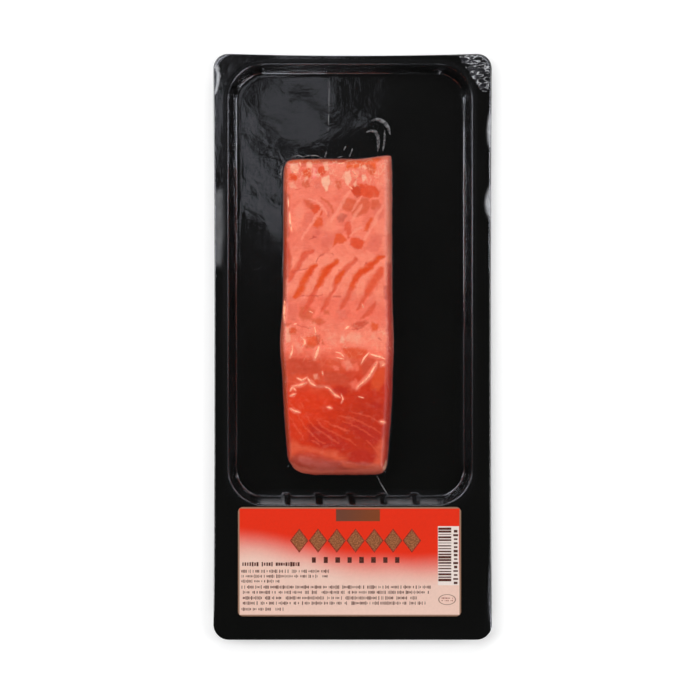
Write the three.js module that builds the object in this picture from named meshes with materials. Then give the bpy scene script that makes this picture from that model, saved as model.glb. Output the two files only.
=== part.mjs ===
// A pack of salted trout fillet: a black thermoformed tray with a well, a cut of fillet lying in the well, a
// clear skin film drawn down over both and sealed to the rim, and a paper label stuck on the film below the
// well. Millimetres, +Z up. The pack lies flat: +Y runs towards the end where the film is peeled, -Y towards
// the label. The origin is under the middle of the pack, at the level it lies on.
import * as THREE from "three";

// ---- Driving dimensions -----------------------------------------------------------------------------------

// The tray's outline. The film's pull bows the sides in a little between the corners.
const PACK_WIDTH = 134;
const PACK_LENGTH = 282;
const LABEL_END_RADIUS = 8; // corners beside the label
const PEEL_END_RADIUS = 6.5; // corners at the far end, cut almost straight
const SIDE_BOW = 0.5;
const PEEL_END_BOW = 1.2;

// The formed sheet, and the well pressed into it.
const SHEET = 0.7;
const WELL_DEPTH = 9.3; // from the rim down to the floor
const WELL_WIDTH = 117;
const WELL_LENGTH = 211.6;
const WELL_CENTRE = new THREE.Vector2(-1.2, 29.8);
const WELL_RADIUS = 17;
const WALL_RUN = 3; // how far the wall leans in between rim and floor
const RIM_DROP = 1.4; // the outer band of the rim turns down by this much
const RIM_BAND_START = 0.84; // share of the way from the well to the edge where that band begins

// Short buttresses stand in the well's wall on the label side.
const RIB_COUNT = 5;
const RIB_PITCH = 15.5;
const RIB_DEPTH = 1.5;
const RIB_HALF_WIDTH_TOP = 1;
const RIB_HALF_WIDTH_FOOT = 2.1;

// The cut of fillet, seen from above.
const FILLET_WIDTH = 51.8;
const FILLET_LENGTH = 151.5;
const FILLET_CENTRE = new THREE.Vector2(-7.2, 14.2);
const CORNER_PULL = 1.7; // the plan's corners are rounded back by this much
const NARROWING = 2.4; // each side draws in by this much towards the label end
const SIDE_BULGE = 1.5; // the left side swells by this much, and the right side by half of it
const SIDE_BULGE_AT = -0.17; // where along the half length it swells most
const SIDE_BULGE_REACH = 0.2;
const RAISED_CORNER = 1.4; // the far right corner reaches this much further than the left one

// Its thickness, and how far in from the outline each edge takes to come up to it.
const FILLET_THICKNESS = 18.6;
const EDGE_SHARE = 0.42; // share of the thickness that stands upright at the outline
const LEFT_EDGE_RUN = 2.8;
const RIGHT_EDGE_RUN = 4;
const FAR_EDGE_RUN = 4;
const SLANT_RUN = 11; // the slanting cut face at the label end, where it is longest
const SLANT_RUN_RIGHT = 0.55; // and on the right, as a share of that
const CROWN_ACROSS = 0.07; // the sides are thinner than the middle by this share
const CROWN_FAR = 0.06; // and so are the two ends
const CROWN_NEAR = 0.04;

// The flesh's grooves between its flakes, and one furrow across the middle.
const GROOVE_DEPTH = 0.5;
const GROOVE_PITCH = 6.4;
const GROOVE_ANGLE = THREE.MathUtils.degToRad(52);
const FURROW_DEPTH = 0.7;
const FURROW_Y = -17;
const FURROW_WIDTH = 3.2;
const FURROW_SWING = 2.5; // it wanders up and down by this much

// The film and the label. Neighbours keep a small gap, so that no two solids touch.
const GAP = 0.2;
const FILM = 0.25;
const FILM_FOOT = 1.6; // where the film meets the floor, out from the fillet's side
const FILM_SLACK = 0.2; // extra room over the fillet, whose grooves the film doesn't follow
const LOOSE_CORNER = 17; // how far the unsealed film reaches in from the peel corner
const LOOSE_LIFT = 2.2;
const LOOSE_CREASE = 7; // from crease to crease
const LABEL_WIDTH = 107;
const LABEL_LENGTH = 52.4;
const LABEL_RADIUS = 2.4;
const LABEL_CENTRE = new THREE.Vector2(-1.5, -103.2);
const LABEL_SHEET = 0.2;

// Levels worked out from those.
const FLOOR_Z = SHEET;
const RIM_Z = FLOOR_Z + WELL_DEPTH;
const FILLET_Z = FLOOR_Z + GAP;

const { lerp, clamp, smoothstep } = THREE.MathUtils;

// ---- A closed shell built up from loops of points ---------------------------------------------------------

class Shell {
  points = [];
  faces = [];

  // Adds points and returns their numbers.
  add(points) {
    return points.map((p) => this.points.push(p) - 1);
  }

  // A four-sided face, split along its shorter diagonal.
  quad(a, b, c, d) {
    const length = (i, j) => this.points[i].distanceTo(this.points[j]);
    if (length(a, c) <= length(b, d)) this.faces.push([a, b, c], [a, c, d]);
    else this.faces.push([a, b, d], [b, c, d]);
  }

  // Joins two closed anticlockwise loops of equal length: upwards on an outer side, inwards on an upper face.
  band(from, to) {
    from.forEach((_, i) => {
      const next = (i + 1) % from.length;
      this.quad(from[i], from[next], to[next], to[i]);
    });
  }

  // Joins a run of loops, each to the next.
  bands(loops) {
    loops.slice(1).forEach((loop, i) => this.band(loops[i], loop));
  }

  // Fills a flat loop from a point in its middle, facing up or down.
  fan(loop, facing) {
    const middle = new THREE.Vector3();
    loop.forEach((i) => middle.addScaledVector(this.points[i], 1 / loop.length));
    const [hub] = this.add([middle]);
    loop.forEach((from, i) => {
      const to = loop[(i + 1) % loop.length];
      this.faces.push(facing > 0 ? [hub, from, to] : [hub, to, from]);
    });
  }

  // Fills a flat loop that has a hole in it, facing up or down.
  fillRound(outer, hole, facing) {
    const plan = (loop) => loop.map((i) => new THREE.Vector2(this.points[i].x, this.points[i].y));
    const numbers = [...outer, ...hole];
    for (const face of THREE.ShapeUtils.triangulateShape(plan(outer), [plan(hole)])) {
      const [a, b, c] = face.map((i) => this.points[numbers[i]]);
      const area = (b.x - a.x) * (c.y - a.y) - (b.y - a.y) * (c.x - a.x);
      const turned = area * facing < 0 ? [face[0], face[2], face[1]] : face;
      this.faces.push(turned.map((i) => numbers[i]));
    }
  }

  // Covers a grid of point numbers, rows running across and facing up or down.
  cover(rows, facing) {
    for (let j = 0; j + 1 < rows.length; j++)
      for (let i = 0; i + 1 < rows[j].length; i++) {
        const corners = [rows[j][i], rows[j][i + 1], rows[j + 1][i + 1], rows[j + 1][i]];
        this.quad(...(facing > 0 ? corners : corners.reverse()));
      }
  }

  mesh(name, material) {
    const geometry = new THREE.BufferGeometry().setFromPoints(this.points);
    geometry.setIndex(this.faces.flat());
    const faceted = geometry.toNonIndexed();
    faceted.computeVertexNormals();
    const mesh = new THREE.Mesh(faceted, material);
    mesh.name = name;
    return mesh;
  }
}

// ---- Rounded outlines -------------------------------------------------------------------------------------

// Places round an outline, the same for every ring of the tray: on a corner's arc, along a side, or on a rib.
// Corners and sides run anticlockwise from the left corner at the label end.
function outlineStations() {
  const cornerSteps = 6;
  const sideShares = { right: 8, peelEnd: 5, left: 8 };
  const corner = (number) =>
    Array.from({ length: cornerSteps + 1 }, (_, i) => ({ corner: number, turn: i / cornerSteps }));
  const side = (name) => {
    const shares = sideShares[name];
    return Array.from({ length: shares - 1 }, (_, i) => ({ side: name, share: (i + 1) / shares }));
  };
  const fromMiddle = (i) => (i - (RIB_COUNT - 1) / 2) * RIB_PITCH;
  const ribMiddles = Array.from({ length: RIB_COUNT }, (_, i) => fromMiddle(i));
  const ribs = ribMiddles.flatMap((middle) =>
    [-1, -0.5, 0.5, 1].map((across) => ({ side: "labelEnd", rib: middle, across })),
  );
  return [
    ...corner(0),
    ...ribs,
    ...corner(1),
    ...side("right"),
    ...corner(2),
    ...side("peelEnd"),
    ...corner(3),
    ...side("left"),
  ];
}

const STATIONS = outlineStations();

// A rounded rectangle: half sizes, centre, the radius at each corner, and how far its sides bow in.
class Outline {
  constructor({ width, length, centre, radii, bow = 0, peelEndBow = 0, ribs = false }) {
    Object.assign(this, { halfX: width / 2, halfY: length / 2, centre, radii, bow, peelEndBow, ribs });
  }

  cornerArc(number, turn, inset) {
    const radius = this.radii[number];
    const angle = ((number + 2) * Math.PI) / 2 + (turn * Math.PI) / 2;
    const toRight = number === 1 || number === 2 ? 1 : -1;
    const toPeelEnd = number >= 2 ? 1 : -1;
    const reach = radius - inset;
    return new THREE.Vector2(
      this.centre.x + toRight * (this.halfX - radius) + reach * Math.cos(angle),
      this.centre.y + toPeelEnd * (this.halfY - radius) + reach * Math.sin(angle),
    );
  }

  // The point at a station, on the ring that lies `inset` inside the outline. `foot` is 0 at the rim and 1 at
  // the floor.
  at(station, inset = 0, foot = 0) {
    if ("corner" in station) return this.cornerArc(station.corner, station.turn, inset);
    const ends = { labelEnd: [0, 1], right: [1, 2], peelEnd: [2, 3], left: [3, 0] }[station.side];
    const from = this.cornerArc(ends[0], 1, inset);
    const to = this.cornerArc(ends[1], 0, inset);
    if ("rib" in station) return this.onRib(station, from, foot);
    const point = from.lerp(to, station.share);
    const bulge = 4 * station.share * (1 - station.share);
    if (station.side === "right") point.x -= this.bow * bulge;
    if (station.side === "left") point.x += this.bow * bulge;
    if (station.side === "peelEnd") point.y -= this.peelEndBow * bulge;
    return point;
  }

  onRib({ rib, across }, side, foot) {
    const half = lerp(RIB_HALF_WIDTH_TOP, RIB_HALF_WIDTH_FOOT, foot);
    const stands = this.ribs && Math.abs(across) < 1 ? RIB_DEPTH * foot : 0;
    return new THREE.Vector2(this.centre.x + rib + across * half, side.y + stands);
  }
}

const packOutline = new Outline({
  width: PACK_WIDTH,
  length: PACK_LENGTH,
  centre: new THREE.Vector2(0, 0),
  radii: [LABEL_END_RADIUS, LABEL_END_RADIUS, PEEL_END_RADIUS, PEEL_END_RADIUS],
  bow: SIDE_BOW,
  peelEndBow: PEEL_END_BOW,
});
const wellOutline = new Outline({
  width: WELL_WIDTH,
  length: WELL_LENGTH,
  centre: WELL_CENTRE,
  radii: Array(4).fill(WELL_RADIUS),
  ribs: true,
});

// ---- The tray's section -----------------------------------------------------------------------------------

// The well's upper face in section, from the rim inwards: inset from the well's outline, and height.
const WELL_SECTION = [
  [-0.7, RIM_Z],
  [0.3, RIM_Z - 0.5],
  [WALL_RUN - 0.7, FLOOR_Z + 1.1],
  [WALL_RUN + 0.6, FLOOR_Z],
].map(([inset, z]) => new THREE.Vector2(inset, z));

// Moves a section's line sideways by a distance, upwards if that is positive, keeping each stretch parallel.
// The line goes on level beyond both its ends.
function offsetSection(section, distance) {
  const level = new THREE.Vector2(1, 0);
  const directions = section.slice(1).map((p, i) => p.clone().sub(section[i]).normalize());
  return section.map((p, i) => {
    const before = directions[i - 1] ?? level;
    const after = directions[i] ?? level;
    const bisector = before.clone().add(after).normalize();
    const stretch = distance / bisector.dot(before);
    return new THREE.Vector2(p.x - bisector.y * stretch, p.y + bisector.x * stretch);
  });
}

// How far the unsealed film stands up at a place near the peel corner: creased, and highest at the corner.
function looseFilmLift(x, y) {
  const fromCorner = PACK_WIDTH / 2 - x + (PACK_LENGTH / 2 - y);
  const near = 1 - smoothstep(fromCorner, LOOSE_CORNER * 0.35, LOOSE_CORNER * 1.5);
  const creases = 0.6 + 0.4 * Math.cos((2 * Math.PI * (x - y)) / LOOSE_CREASE);
  return LOOSE_LIFT * near * creases;
}

// The rings of one face of a sheet that follows the tray, from the floor's edge out to the pack's edge.
// `lift` is that face's distance above the tray's upper face.
function sheetRings(lift, loose = () => 0) {
  const place = (p, z) => new THREE.Vector3(p.x, p.y, z + loose(p.x, p.y));
  const wall = offsetSection(WELL_SECTION, lift).map((s) => {
    const foot = clamp((RIM_Z + lift - s.y) / WELL_DEPTH, 0, 1);
    return STATIONS.map((station) => place(wellOutline.at(station, s.x, foot), s.y));
  });
  const rimRing = (share, drop) =>
    STATIONS.map((station) => {
      const inner = wellOutline.at(station, WELL_SECTION[0].x);
      return place(inner.lerp(packOutline.at(station), share), RIM_Z + lift - drop);
    });
  return [...wall.reverse(), rimRing(RIM_BAND_START, 0), rimRing(1, RIM_DROP)];
}

// ---- The fillet's shape -----------------------------------------------------------------------------------

// Places across or along the fillet, from -1 to 1: close together at the rounded edges and even between them.
function spacedPlaces(halfSize, edgeDistances, inner) {
  const edge = edgeDistances.map((d) => 1 - d / halfSize);
  const last = edge[edge.length - 1];
  const middle = Array.from({ length: inner - 1 }, (_, i) => lerp(-last, last, (i + 1) / inner));
  return [...edge.map((s) => -s), ...middle, ...[...edge].reverse()];
}

const EDGE_ACROSS = [0, 0.5, 1.4, 3, 5];
const EDGE_ALONG = [0, 0.8, 2.2, 4.6, 8, 12];

// The plan: the cut bulges a little to the left of its middle and narrows at the label end.
function filletPlan(across, along, grow) {
  const halfX = FILLET_WIDTH / 2 + grow;
  const halfY = FILLET_LENGTH / 2 + grow;
  const narrowing = NARROWING * smoothstep(-along, 0.45, 1.05);
  const swell = SIDE_BULGE * Math.exp(-(((along - SIDE_BULGE_AT) / SIDE_BULGE_REACH) ** 2));
  const bulge = across < 0 ? swell : swell / 2;
  const pull = CORNER_PULL * Math.abs(across) ** 10 * Math.abs(along) ** 28;
  const raised = RAISED_CORNER * smoothstep(across, 0.2, 1) * smoothstep(along, 0.8, 1);
  const x = across * (halfX - narrowing + bulge - pull);
  const y = along * (halfY - pull) + raised;
  return new THREE.Vector2(FILLET_CENTRE.x + x, FILLET_CENTRE.y + y);
}

// How deep the grooves are at a place: slanting ones on the far half, and the furrow across the middle.
function filletGrooves(x, y) {
  const acrossGrooves = x * Math.sin(GROOVE_ANGLE) - y * Math.cos(GROOVE_ANGLE);
  const wave = 0.5 + 0.5 * Math.cos((2 * Math.PI * acrossGrooves) / GROOVE_PITCH);
  const farHalf = smoothstep(y, FURROW_Y + 8, FURROW_Y + 26);
  const fromFurrow = y - FURROW_Y - FURROW_SWING * Math.sin(x / 6);
  const furrow = Math.exp(-((fromFurrow / FURROW_WIDTH) ** 2));
  return GROOVE_DEPTH * wave ** 2 * farHalf + FURROW_DEPTH * furrow;
}

// How high an edge has come up, as a share of the thickness, at a distance in from the outline.
function roundedRise(distance, run) {
  const left = 1 - clamp(distance / run, 0, 1);
  return lerp(EDGE_SHARE, 1, Math.sqrt(1 - left * left));
}
function slantedRise(distance, run) {
  const gone = clamp(distance / run, 0, 1);
  return lerp(EDGE_SHARE, 1, Math.sin((gone * Math.PI) / 2) ** 0.9);
}

// A point of the fillet's upper face. `grow` makes it larger all round, for the film that lies over it.
function filletTop(across, along, grow, grooved) {
  const plan = filletPlan(across, along, grow);
  const fromSide = ((1 - Math.abs(across)) * FILLET_WIDTH) / 2;
  const fromEnd = ((1 - Math.abs(along)) * FILLET_LENGTH) / 2;
  const slantRun = SLANT_RUN * lerp(1, SLANT_RUN_RIGHT, 0.5 + across / 2);
  const side = roundedRise(fromSide, across < 0 ? LEFT_EDGE_RUN : RIGHT_EDGE_RUN);
  const end = along < 0 ? slantedRise(fromEnd, slantRun) : roundedRise(fromEnd, FAR_EDGE_RUN);
  const rise = Math.max(1 - Math.hypot(1 - side, 1 - end), EDGE_SHARE);
  const thinnerAtEnds = CROWN_FAR * smoothstep(along, 0.2, 1) + CROWN_NEAR * smoothstep(-along, 0.3, 1);
  const crown = 1 - CROWN_ACROSS * across * across - thinnerAtEnds;
  const grooves = grooved ? filletGrooves(plan.x, plan.y) * smoothstep(rise, 0.85, 1) : 0;
  const height = (FILLET_THICKNESS + grow) * crown * rise - grooves;
  return new THREE.Vector3(plan.x, plan.y, FILLET_Z + height);
}

// The numbers round a grid's border, anticlockwise from its first corner.
function borderOf(rows) {
  const last = rows.length - 1;
  const end = rows[0].length - 1;
  return [
    ...rows[0].slice(0, end),
    ...rows.slice(0, last).map((row) => row[end]),
    ...rows[last].slice(1).reverse(),
    ...rows.slice(1).map((row) => row[0]).reverse(),
  ];
}

// A copy of a loop of points, moved out by a distance in plan and set at a height.
function movedLoop(loop, out, z) {
  return loop.map((p, i) => {
    const before = loop[(i + loop.length - 1) % loop.length];
    const after = loop[(i + 1) % loop.length];
    const along = new THREE.Vector2(after.x - before.x, after.y - before.y).normalize();
    return new THREE.Vector3(p.x + along.y * out, p.y - along.x * out, z);
  });
}

// ---- The four pieces --------------------------------------------------------------------------------------

function makeTray() {
  const shell = new Shell();
  const under = sheetRings(-SHEET).map((ring) => shell.add(ring));
  const upper = sheetRings(0).map((ring) => shell.add(ring));
  shell.fan(under[0], -1);
  shell.bands([...under, ...upper.slice().reverse()]);
  shell.fan(upper[0], 1);
  return shell.mesh("tray", new THREE.MeshStandardMaterial({ color: 0x101012, roughness: 0.25 }));
}

function makeFillet() {
  const shell = new Shell();
  const across = spacedPlaces(FILLET_WIDTH / 2, EDGE_ACROSS, 17);
  const along = spacedPlaces(FILLET_LENGTH / 2, EDGE_ALONG, 50);
  const rows = along.map((v) => shell.add(across.map((u) => filletTop(u, v, 0, true))));
  shell.cover(rows, 1);
  const border = borderOf(rows);
  const edge = border.map((i) => shell.points[i]);
  const low = shell.add(movedLoop(edge, 0.3, FILLET_Z + 3));
  const foot = shell.add(movedLoop(edge, -0.9, FILLET_Z));
  shell.bands([foot, low, border]);
  shell.fan(foot, -1);
  return shell.mesh("fillet", new THREE.MeshStandardMaterial({ color: 0xe8613c, roughness: 0.3 }));
}

// One face of the film over the fillet: the grid on top, the side, and the loop where it meets the floor.
function filmOverFillet(shell, lift) {
  const across = spacedPlaces(FILLET_WIDTH / 2, EDGE_ACROSS, 6);
  const along = spacedPlaces(FILLET_LENGTH / 2, EDGE_ALONG, 18);
  const rows = along.map((v) => shell.add(across.map((u) => filletTop(u, v, lift + FILM_SLACK, false))));
  const border = borderOf(rows);
  const edge = border.map((i) => shell.points[i]);
  const low = shell.add(movedLoop(edge, 0.4, FLOOR_Z + lift + 2));
  const foot = shell.add(movedLoop(edge, FILM_FOOT, FLOOR_Z + lift));
  return { rows, loops: [foot, low, border] };
}

function makeFilm() {
  const shell = new Shell();
  const faces = [GAP, GAP + FILM].map((lift) => ({
    rings: sheetRings(lift, looseFilmLift).map((ring) => shell.add(ring)),
    over: filmOverFillet(shell, lift),
  }));
  const [under, upper] = faces;
  shell.bands([...under.rings, ...upper.rings.slice().reverse()]);
  shell.fillRound(upper.rings[0], upper.over.loops[0], 1);
  shell.bands(upper.over.loops);
  shell.cover(upper.over.rows, 1);
  shell.fillRound(under.rings[0], under.over.loops[0], -1);
  shell.bands(under.over.loops.slice().reverse());
  shell.cover(under.over.rows, -1);
  const clear = { color: 0xffffff, roughness: 0.08, transparent: true, opacity: 0.15 };
  return shell.mesh("film", new THREE.MeshStandardMaterial(clear));
}

function makeLabel() {
  const w = LABEL_WIDTH / 2;
  const l = LABEL_LENGTH / 2;
  const r = LABEL_RADIUS;
  const shape = new THREE.Shape();
  shape.absarc(w - r, -l + r, r, -Math.PI / 2, 0);
  shape.absarc(w - r, l - r, r, 0, Math.PI / 2);
  shape.absarc(-w + r, l - r, r, Math.PI / 2, Math.PI);
  shape.absarc(-w + r, -l + r, r, Math.PI, Math.PI * 1.5);
  const extrusion = { depth: LABEL_SHEET, bevelEnabled: false, curveSegments: 5 };
  const paper = new THREE.MeshStandardMaterial({ color: 0xe8b7a6, roughness: 0.45 });
  const label = new THREE.Mesh(new THREE.ExtrudeGeometry(shape, extrusion), paper);
  label.name = "label";
  label.position.set(LABEL_CENTRE.x, LABEL_CENTRE.y, RIM_Z + GAP + FILM + GAP / 2);
  return label;
}

const pack = new THREE.Group();
pack.add(makeTray(), makeFillet(), makeFilm(), makeLabel());

export default pack;
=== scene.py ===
# A pack of salted trout fillet, lying flat and seen from straight above: a black formed tray, the cut of fillet in
# its well, a clear film drawn down over both, and a label on the film at one end. Everything is in metres.
import math

import bpy
import numpy as np
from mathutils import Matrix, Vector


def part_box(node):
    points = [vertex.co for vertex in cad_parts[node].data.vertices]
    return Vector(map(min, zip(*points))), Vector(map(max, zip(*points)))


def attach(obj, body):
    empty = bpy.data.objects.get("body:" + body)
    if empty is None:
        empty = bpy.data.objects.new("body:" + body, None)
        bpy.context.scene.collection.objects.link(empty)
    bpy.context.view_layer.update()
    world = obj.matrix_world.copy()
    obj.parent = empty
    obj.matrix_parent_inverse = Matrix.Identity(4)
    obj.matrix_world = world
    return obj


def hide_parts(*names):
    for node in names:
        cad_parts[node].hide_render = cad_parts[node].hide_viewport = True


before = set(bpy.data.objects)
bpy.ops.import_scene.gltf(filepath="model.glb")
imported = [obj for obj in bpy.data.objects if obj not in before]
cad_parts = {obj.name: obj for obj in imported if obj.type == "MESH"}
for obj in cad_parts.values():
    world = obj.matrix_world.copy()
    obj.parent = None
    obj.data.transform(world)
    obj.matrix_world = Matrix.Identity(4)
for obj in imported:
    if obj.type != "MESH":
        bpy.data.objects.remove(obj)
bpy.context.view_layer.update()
mm = 0.001

# ---- Tray ---------------------------------------------------------------------------------------------------
# A sheet of glossy black plastic, heated and drawn down over a mould. It has one long well and a wide rim whose
# outer band turns down, and five short buttresses stiffen the well's wall at the label end.

tray_low, tray_high = (np.array(corner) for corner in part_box("tray"))
PACK_SIZE = (tray_high - tray_low)[:2]
RIM = tray_high[2]
SHEET = 0.7 * mm
FLOOR = SHEET  # the well's floor: the pack lies on the lower face of its sheet
PACK_CORNER = 7.5 * mm
PACK_BOW = np.array((0.5, 1.2)) * mm  # how far the long sides and the far end bow in
WELL_SIZE = np.array((117, 211.6)) * mm
WELL_CENTRE = np.array((-1.2, 29.8)) * mm
WELL_CORNER = 17 * mm
WALL_RUN = 3 * mm
WALL_SPAN = (-2.2 * mm, 6 * mm)  # the insets from the well's outline at which its wall starts and ends
RIM_DROP = 1.4 * mm
BAND_START = 0.84  # share of the way from the well to the pack's edge where the turned band begins
BAND_CURVE = 1.5  # how gently it begins
RIM_ROUND = 1.3 * mm
FOOT_ROUND = 1.8 * mm
ARC_STEPS = 7  # of the wall's roundings in section
PLACES_ROUND = 960  # points of each ring round the well
CORNER_PLACES = 16  # points of a rounded corner before the ring is spaced evenly
RIM_SHARES = (1, 0.99, 0.97, 0.94, 0.9, 0.87, 0.84, 0.8, 0.7, 0.55, 0.4, 0.25, 0.1)  # rings, from edge to well
FLOOR_SHARES = (0.05, 0.12, 0.25, 0.4, 0.6, 0.8, 1)  # rings, from the wall to the floor's middle
RIB_PITCH = 15.5 * mm
RIB_COUNT = 5
RIB_DEPTH = 1.5 * mm
RIB_HALF_WIDTH = (1 * mm, 2.1 * mm)  # at the rim and at the foot
RIB_SOFTNESS = 0.6 * mm  # width of the step at its sides
RIB_FADE = 12  # how fast its push fades over the floor
END_SLACK = 0.5 * mm  # outline points this near the label end's line belong to that end's wall
SAME_PLACE = 0.001 * mm  # points nearer than this are merged


class Wire:
    """An output of a node. Sums on wires, or on a wire and a number, add the tree's Math nodes."""

    def __init__(self, socket):
        self.socket = socket

    def math(self, operation, *terms):
        """A Math node on wires or numbers, in this wire's tree."""
        node = self.socket.id_data.nodes.new("ShaderNodeMath")
        node.operation = operation
        for socket, term in zip(node.inputs, terms):
            plug(socket, term)
        return Wire(node.outputs[0])

    def __add__(self, other):
        return self.math("ADD", self, other)

    def __radd__(self, other):
        return self.math("ADD", other, self)

    def __sub__(self, other):
        return self.math("SUBTRACT", self, other)

    def __rsub__(self, other):
        return self.math("SUBTRACT", other, self)

    def __mul__(self, other):
        return self.math("MULTIPLY", self, other)

    def __rmul__(self, other):
        return self.math("MULTIPLY", other, self)

    def __truediv__(self, other):
        return self.math("DIVIDE", self, other)

    def __pow__(self, other):
        return self.math("POWER", self, other)

    def __lt__(self, other):
        return self.math("LESS_THAN", self, other)

    def __gt__(self, other):
        return self.math("GREATER_THAN", self, other)

    def __abs__(self):
        return self.math("ABSOLUTE", self)

    def clamped(self):
        """The number, kept between 0 and 1."""
        return self.math("MAXIMUM", self.math("MINIMUM", self, 1.0), 0.0)

    def other(self, name):
        """Another output of the same node."""
        return Wire(self.socket.node.outputs[name])


def plug(socket, value):
    """Links a socket to a wire, or sets it to a plain value."""
    if isinstance(value, Wire):
        socket.id_data.links.new(value.socket, socket)
    else:
        socket.default_value = value


class Nodes:
    """A node tree. Nodes other than Math nodes are added by one method: type, settings, then values or links."""

    def __init__(self, tree):
        self.tree = tree

    def add(self, kind, settings=None, sockets=None, out=0):
        """Adds a node. Its sockets are found by name or number, and so is the output that is returned."""
        node = self.tree.nodes.new(kind)
        for name, value in (settings or {}).items():
            setattr(node, name, value)
        for key, value in (sockets or {}).items():
            named = [s for s in node.inputs if s.enabled and s.name == key]
            plug(named[0] if named else node.inputs[key], value)
        if isinstance(out, str):
            return Wire([s for s in node.outputs if s.enabled and s.name == out][0])
        return Wire([s for s in node.outputs if s.enabled][out])

    def axes(self, vector):
        """The three parts of a vector."""
        node = self.tree.nodes.new("ShaderNodeSeparateXYZ")
        plug(node.inputs[0], vector)
        return [Wire(part) for part in node.outputs]

    def smooth(self, value, low, high):
        """0 below low and 1 above high, with a soft step between."""
        settings = {"interpolation_type": "SMOOTHSTEP"}
        sockets = {"Value": value, "From Min": low, "From Max": high}
        return self.add("ShaderNodeMapRange", settings, sockets)

    def mixed(self, share, first, second, kind="RGBA"):
        """A colour or vector between two others."""
        return self.add("ShaderNodeMix", {"data_type": kind}, {"Factor": share, "A": first, "B": second})

    def vectors(self, operation, *terms):
        """A Vector Math node, its terms in the order of its sockets."""
        return self.add("ShaderNodeVectorMath", {"operation": operation}, dict(enumerate(terms)))

    def noise(self, spot, scale, detail, roughness=0.5):
        """Cloudy noise between 0 and 1."""
        sockets = {"Vector": spot, "Scale": scale, "Detail": detail, "Roughness": roughness}
        return self.add("ShaderNodeTexNoise", None, sockets)

    def bump(self, height, strength, distance):
        """The normal of a surface with a fine relief."""
        return self.add("ShaderNodeBump", None, {"Strength": strength, "Distance": distance, "Height": height})


def rounded_path(corners, rounds, steps):
    """An open line through corner points, each inner corner replaced by an arc of its own radius."""
    points = [np.array(corners[0])]
    for before, at, after, radius in zip(corners, corners[1:], corners[2:], rounds):
        at = np.array(at)
        inward = (np.array(before) - at) / np.linalg.norm(np.array(before) - at)
        onward = (np.array(after) - at) / np.linalg.norm(np.array(after) - at)
        half = math.acos(np.clip(inward @ onward, -1, 1)) / 2
        centre = at + (inward + onward) / np.linalg.norm(inward + onward) * radius / math.sin(half)
        start = at + inward * radius / math.tan(half) - centre
        finish = at + onward * radius / math.tan(half) - centre
        sweep = math.atan2(start[0] * finish[1] - start[1] * finish[0], start @ finish)
        for step in range(steps + 1):
            turn = sweep * step / steps
            points.append(centre + start * math.cos(turn) + np.array((-start[1], start[0])) * math.sin(turn))
    return np.array([*points, np.array(corners[-1])])


def well_wall(lift=0.0):
    """The wall in section, from rim to floor: (inset from the well's outline, height), `lift` above the tray."""
    turn = math.atan2(RIM - FLOOR, WALL_RUN)
    shift = lift * math.tan(turn / 2)
    corners = [(WALL_SPAN[0], RIM + lift), (shift, RIM + lift), (WALL_RUN + shift, FLOOR + lift),
               (WALL_SPAN[1], FLOOR + lift)]
    return rounded_path(corners, (RIM_ROUND + lift, FOOT_ROUND - lift), ARC_STEPS)


def band_drop(share):
    """How far the rim has turned down at a share of the way from the well to the edge."""
    return RIM_DROP * np.clip((share - BAND_START) / (1 - BAND_START), 0, 1) ** BAND_CURVE


def geometry_tree(name, inputs):
    """A geometry tree with named inputs of the given socket types, and the wires of those inputs."""
    tree = bpy.data.node_groups.new(name, "GeometryNodeTree")
    tree.interface.new_socket("Geometry", in_out="OUTPUT", socket_type="NodeSocketGeometry")
    for title, kind in {"Geometry": "Geometry", **inputs}.items():
        tree.interface.new_socket(title, in_out="INPUT", socket_type="NodeSocket" + kind)
    entry = tree.nodes.new("NodeGroupInput")
    return Nodes(tree), {title: Wire(entry.outputs[title]) for title in ["Geometry", *inputs]}


def end_tree(nodes, shape, material):
    """Ends a geometry tree: instances made real, and the material set."""
    real = nodes.add("GeometryNodeRealizeInstances", None, {"Geometry": shape})
    finished = nodes.add("GeometryNodeSetMaterial", None, {"Geometry": real, "Material": material})
    exit_node = nodes.tree.nodes.new("NodeGroupOutput")
    plug(exit_node.inputs[0], finished)


def as_object(name, data):
    """A new object in the scene for a mesh, curve, lamp or camera."""
    piece = bpy.data.objects.new(name, data)
    bpy.context.collection.objects.link(piece)
    return piece


def frozen(piece):
    """Replaces an object that has modifiers by a plain one of the same name, its modifiers applied."""
    name = piece.name
    seen = bpy.context.evaluated_depsgraph_get()
    shown = piece.evaluated_get(seen)
    mesh = bpy.data.meshes.new_from_object(shown, preserve_all_data_layers=True, depsgraph=seen)
    bpy.data.objects.remove(piece)
    mesh.name = name
    return as_object(name, mesh)


def grown(name, nodes, values, base=None, sheet=0.0):
    """Runs a geometry tree on a base mesh and returns the plain mesh it makes, thickened downwards by `sheet`."""
    piece = as_object(name, base or bpy.data.meshes.new(name + "_base"))
    modifier = piece.modifiers.new("Shape", "NODES")
    modifier.node_group = nodes.tree
    for item in nodes.tree.interface.items_tree:
        if item.in_out == "INPUT" and item.name in values:
            modifier[item.identifier] = values[item.name]
    if sheet:
        thicken(piece, sheet)
    return frozen(piece)


def thicken(piece, sheet, even=True):
    """Gives a surface the thickness of a sheet, on its lower side."""
    solid = piece.modifiers.new("Sheet", "SOLIDIFY")
    solid.thickness = sheet
    solid.offset = -1
    solid.use_even_offset = even


def smoothed(piece, degrees=40):
    """Shades a piece smooth, with edges sharper than that angle left hard."""
    piece.data.shade_smooth()
    piece.data.set_sharp_from_angle(angle=math.radians(degrees))


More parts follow.
